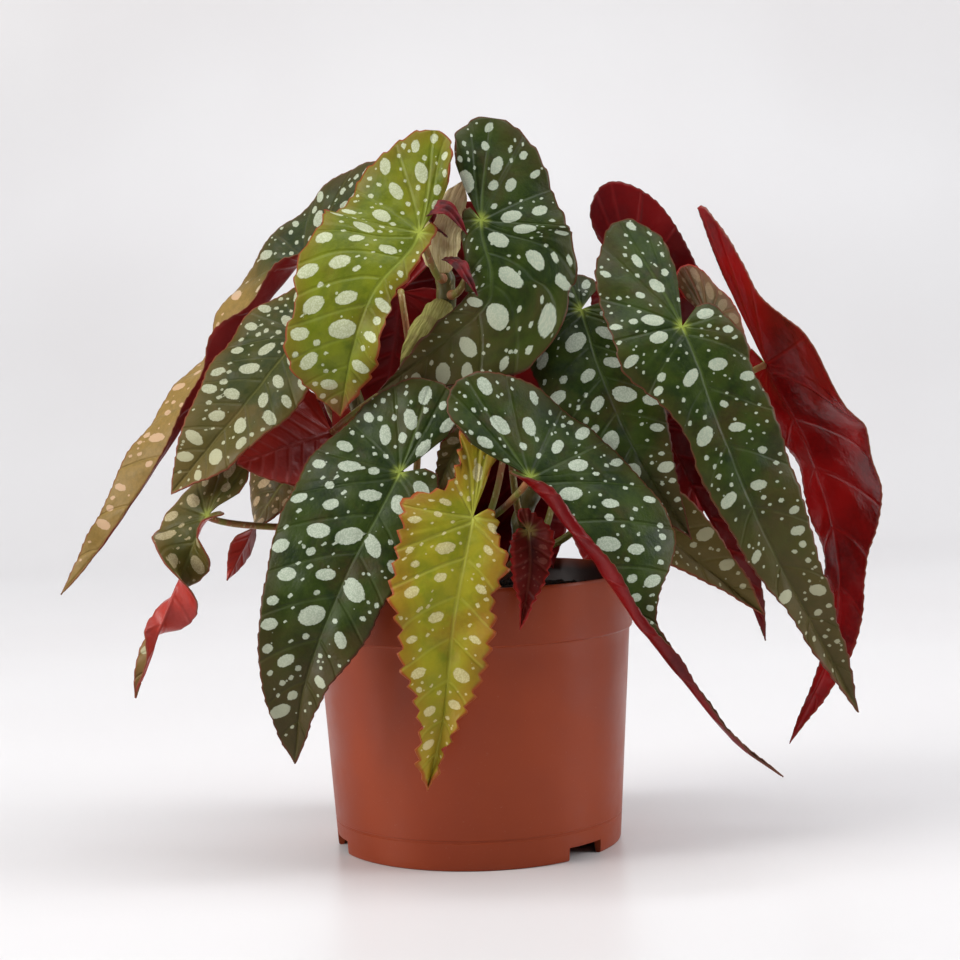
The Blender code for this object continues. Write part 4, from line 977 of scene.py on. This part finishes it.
def potProfile():
    # closed (radius, height) loop: underside, skirt, wall with its faint mould line, step, band,
    # rounded lip, inside wall, inside floor
    foot, lip, height, wallThickness = (potSize[key] for key in ("foot", "rim", "height", "wall"))
    step, skirt = potSize["bandStep"], potSize["skirt"]
    bandFoot = height - potSize["bandHeight"]
    floorTop = skirt + potSize["floor"]

    def wall(z):
        return foot + (lip - step - 1.0 - foot) * z / bandFoot

    outer = [(0.0, skirt), (20.0, skirt)]
    outer += [(foot + out, z) for out, z in ((-3.4, skirt), (-2.6, skirt - 0.3), (-2.1, 0.5), (-1.7, 0.0),
                                             (-0.7, 0.0), (-0.15, 0.25), (0.05, 0.9))]
    outer += [(wall(z) + out, z) for out, z in (
        (0.0, 3.0), (0.0, 6.0), (0.0, 9.4), (0.02, 9.9), (-0.22, 10.1), (-0.22, 10.8), (0.0, 11.0))]
    outer += [(wall(z), z) for z in np.linspace(14.0, bandFoot - 0.9, 18)]
    outer += [(wall(bandFoot) + 0.12, bandFoot - 0.35), (lip - step - 0.35, bandFoot - 0.1),
              (lip - step, bandFoot + 0.35)]
    outer += [(lip - step + step * k, bandFoot + 0.35 + (potSize["bandHeight"] - 2.0) * k)
              for k in np.linspace(0.12, 1.0, 8)]
    outer += [(lip - back, height - down) for back, down in (
        (0.0, 1.2), (0.1, 0.5), (0.4, 0.1), (0.8, 0.0), (1.2, 0.15), (1.45, 0.6))]
    inner = [(lip - step - wallThickness - 0.8, bandFoot + 0.6),
             (wall(bandFoot) - wallThickness, bandFoot - 1.2)]
    inner += [(wall(z) - wallThickness, z) for z in (50.0, floorTop + 1.5)]
    inner += [(wall(floorTop) - wallThickness - 1.2, floorTop), (20.0, floorTop), (0.0, floorTop)]
    return np.array(outer + inner)


def makePot(material):
    # profile turned about Z; inside each notch the skirt's low points are lifted to its roof
    s = potSize
    profile = potProfile()
    half = math.degrees(math.atan2(s["notchWidth"] / 2, s["foot"]))
    turns = list(np.linspace(0.0, 360.0, s["columns"], endpoint=False))
    for azimuth in s["notches"]:
        turns += [(azimuth + side * (half + slip)) % 360.0 for side in (-1, 1) for slip in (-0.06, 0.06)]
    turns = np.array(sorted(turns))
    lifted = np.zeros(len(turns))
    for azimuth in s["notches"]:
        away = np.abs((turns - azimuth + 180.0) % 360.0 - 180.0)
        lifted = np.maximum(lifted, np.where(away < half, s["notchHeight"], 0.0))
    radius = np.repeat(profile[None, :, 0], len(turns), axis=0)
    height = np.repeat(profile[None, :, 1], len(turns), axis=0)
    height = np.maximum(height, lifted[:, None] + 0.02 * height * (lifted[:, None] > 0.0))
    a = np.radians(turns)[:, None]
    points = np.stack([radius * np.sin(a), -radius * np.cos(a), height], axis=-1)
    faces = gridFaces(*radius.shape, wrapRows=True)
    piece = makePiece("nurseryPot", points.reshape(-1, 3), faces, [material])
    bm = bmesh.new()
    bm.from_mesh(piece.data)
    bmesh.ops.recalc_face_normals(bm, faces=bm.faces)
    bm.to_mesh(piece.data)
    bm.free()
    return piece


def drillDrains(piece):
    # round drain holes through the floor, cut and applied
    s = potSize
    cutters = []
    for k in range(s["drains"]):
        a = 2 * math.pi * k / s["drains"]
        x, y = s["drainCircle"] * math.cos(a), s["drainCircle"] * math.sin(a)
        path = np.array([x, y, s["skirt"] + s["floor"] / 2]) + np.array([[0, 0, -4.0], [0, 0, 4.0]])
        points, faces = tubeSurface(path, [s["drainRadius"]] * 2, 40, (0.0, 0.0))
        tool = makePiece(f"drainTool{k}", points, faces, [], weld=False)
        step = piece.modifiers.new(f"drain{k}", "BOOLEAN")
        step.operation = "DIFFERENCE"
        step.object = tool
        cutters.append(tool)
    graph = bpy.context.evaluated_depsgraph_get()
    cut = bpy.data.meshes.new_from_object(piece.evaluated_get(graph))
    piece.modifiers.clear()
    piece.data = cut
    for tool in cutters:
        bpy.data.objects.remove(tool)
    piece.data.shade_smooth()
    piece.data.set_sharp_from_angle(angle=math.radians(35.0))


pot = makePot(mouldedPlastic())
drillDrains(pot)
settle(pot, "pot_plastic", "pot")
print("pot faces:", len(pot.data.polygons))


# potting mix

soilLook = dict(top=91.0, radius=56.4, foot=8.0, rings=64, spokes=180, crumbs=900, crumbSize=(0.5, 1.9),
                fibres=70, fibreLength=(3.0, 9.0), fibreRadius=0.22,
                bumps=((1.1, 14.0, 1), (0.7, 5.0, 2), (0.45, 2.2, 3)))  # height, size, seed


def makeSoil(material):
    # polar grid whose height is the top plus three sizes of noise, with crumbs (stretched
    # octahedra at any turn) and fibres (short bent tubes) on it
    look = soilLook
    spokes, n = look["spokes"], look["crumbs"]
    r = np.linspace(0.0, look["radius"], look["rings"])[:, None] * np.ones(spokes)
    a = np.ones(look["rings"])[:, None] * np.linspace(0.0, 2 * math.pi, spokes, endpoint=False)
    x, y = r * np.cos(a), r * np.sin(a)
    z = look["top"] - 0.6
    for rise, size, seed in look["bumps"]:
        z = z + rise * softNoise(x, y, size, seed)
    top = np.stack([x, y, z], axis=-1)
    low, foot = [np.stack([x[-1] * draw, y[-1] * draw, x[-1] * 0 + level], axis=-1)
                 for draw, level in ((0.945, 70.0), (0.88, look["foot"]))]
    center = foot * (0.0, 0.0, 1.0)
    points = np.concatenate([top, low[None], foot[None], center[None]], axis=0)
    quads = gridFaces(points.shape[0], spokes, wrapColumns=True)[:, [0, 3, 2, 1]]
    cloud, shapes, start = [points.reshape(-1, 3)], quads.tolist(), points.shape[0] * spokes

    rng = np.random.default_rng(7)
    corners = np.array([[1, 0, 0], [-1, 0, 0], [0, 1, 0], [0, -1, 0], [0, 0, 1], [0, 0, -1]], float)
    eight = np.array([[0, 2, 4], [2, 1, 4], [1, 3, 4], [3, 0, 4],
                      [2, 0, 5], [1, 2, 5], [3, 1, 5], [0, 3, 5]])
    where = (look["radius"] - 1.5) * np.sqrt(rng.uniform(0, 1, n))
    turn = rng.uniform(0, 2 * math.pi, n)
    size = rng.uniform(*look["crumbSize"], (n, 1, 1)) * rng.uniform(0.6, 1.2, (n, 6, 1))
    spin = np.linalg.qr(rng.normal(size=(n, 3, 3)))[0]
    spin[:, 0] *= np.sign(np.linalg.det(spin))[:, None]
    lumps = np.einsum("kj,nij->nki", corners, spin) * size
    places = [where * np.cos(turn), where * np.sin(turn), np.full(n, look["top"] + 0.2)]
    lumps += np.stack(places, axis=-1)[:, None]
    cloud.append(lumps.reshape(-1, 3))
    shapes += (eight[None] + (np.arange(n) * 6)[:, None, None] + start).reshape(-1, 3).tolist()
    start += n * 6

    for _ in range(look["fibres"]):
        where, turn = 50.0 * math.sqrt(rng.uniform()), rng.uniform(0, 2 * math.pi)
        at = np.array([where * math.cos(turn), where * math.sin(turn), look["top"] + 0.7])
        way = np.append(rng.normal(size=2), rng.normal() * 0.1)
        way = way / np.linalg.norm(way) * rng.uniform(*look["fibreLength"])
        bend = np.sin(np.linspace(0, 3, 7))[:, None] * rng.normal(size=3) * (0.8, 0.8, 0.2)
        path = at + np.linspace(-0.5, 0.5, 7)[:, None] * way + bend
        tube, skin = tubeSurface(path, [look["fibreRadius"]] * 7, 5, (0.0, 0.0))
        cloud.append(tube)
        shapes += [tuple(i + start for i in face) for face in skin]
        start += len(tube)
    return makePiece("peatSoil", np.vstack(cloud), shapes, [material])


settle(makeSoil(peatMix()), "soil", "potting_soil")
print("potting mix done")


# floor, light and camera

studio = dict(floorBack=1.1, curve=0.7, wall=3.4, side=5.0, front=-4.0, air="#f4f5f8", airStrength=0.16)
# place, aim, width and height in metres, watts and tint
lamps = {
    "leftBox": ((-1.7, -0.6, 1.0), (0.0, 0.0, 0.12), (0.9, 1.4), 34.0, "#fffefb"),
    "rightBox": ((1.8, -0.3, 1.0), (0.0, 0.0, 0.12), (0.9, 1.4), 27.0, "#fdfeff"),
    "topBox": ((0.0, -0.2, 1.9), (0.0, 0.0, 0.1), (1.4, 1.4), 15.5, "#fcfdff"),
    "wallBox": ((0.0, 0.3, 2.6), (0.0, 2.0, 0.6), (3.0, 0.8), 20.5, "#f2f7ff"),
}
# a long lens at the plant's height, looking a little down and turned a little (degrees)
view = dict(place=(0.0039, -0.730, 0.172), lens=73.46, sensor=36.0, down=2.95, turn=-1.66)


def paperSweep():
    # background paper: level, then a quarter circle, then straight up
    back, curve = studio["floorBack"], studio["curve"]
    line = [(studio["front"], 0.0), (-1.0, 0.0), (0.0, 0.0)]
    line += [(back + curve * math.sin(k), curve * (1 - math.cos(k)))
             for k in np.linspace(0.0, math.pi / 2, 24)]
    line = np.array(line + [(back + curve, studio["wall"])])
    x = np.linspace(-studio["side"], studio["side"], 3)
    points = np.stack([np.repeat(x[:, None], len(line), 1), np.repeat(line[None, :, 0], 3, 0),
                       np.repeat(line[None, :, 1], 3, 0)], axis=-1)
    piece = makePiece("studioFloor", points.reshape(-1, 3) / mm, gridFaces(3, len(line)),
                      [whitePaper()], weld=False)


def softLight(name, place, aim, size, power, tint):
    # a rectangular lamp whose own -Z points at the aim
    lamp = bpy.data.lights.new(name, "AREA")
    lamp.shape = "RECTANGLE"
    lamp.size, lamp.size_y = size
    lamp.energy = power
    lamp.color = hexLinear(tint)[:3]
    made = bpy.data.objects.new(name, lamp)
    made.location = place
    toward = bpy.context.scene.cursor.location.copy()
    toward[:] = [b - a for a, b in zip(place, aim)]
    made.rotation_euler = toward.to_track_quat("-Z", "Y").to_euler()
    bpy.context.scene.collection.objects.link(made)


def placeCamera():
    # the axes of a camera that looks along +Y, pitched down and then rolled about its own view
    data = bpy.data.cameras.new("view")
    data.sensor_width, data.lens = view["sensor"], view["lens"]
    data.clip_start, data.clip_end = 0.05, 20.0
    made = bpy.data.objects.new("view", data)
    made.location = view["place"]
    made.rotation_mode = "XYZ"
    pitch, roll = math.radians(view["down"]), math.radians(view["turn"])
    ahead = np.array([0.0, math.cos(pitch), -math.sin(pitch)])
    above = np.array([0.0, math.sin(pitch), math.cos(pitch)])
    right = np.array([1.0, 0.0, 0.0])
    x = math.cos(roll) * right + math.sin(roll) * above
    y = -math.sin(roll) * right + math.cos(roll) * above
    axes = bpy.context.scene.cursor.matrix.to_3x3()
    axes[0][:], axes[1][:], axes[2][:] = np.stack([x, y, -ahead], axis=1)
    made.rotation_euler = axes.to_euler()
    bpy.context.scene.collection.objects.link(made)
    bpy.context.scene.camera = made


paperSweep()
for name, lamp in lamps.items():
    softLight(name, *lamp)
world = bpy.data.worlds.new("studioAir")
world.use_nodes = True
air = world.node_tree.nodes["Background"].inputs
air[0].default_value, air[1].default_value = hexLinear(studio["air"]), studio["airStrength"]
bpy.context.scene.world = world
bpy.context.scene.view_settings.view_transform = "Standard"
placeCamera()
print("studio:", ", ".join(lamps))
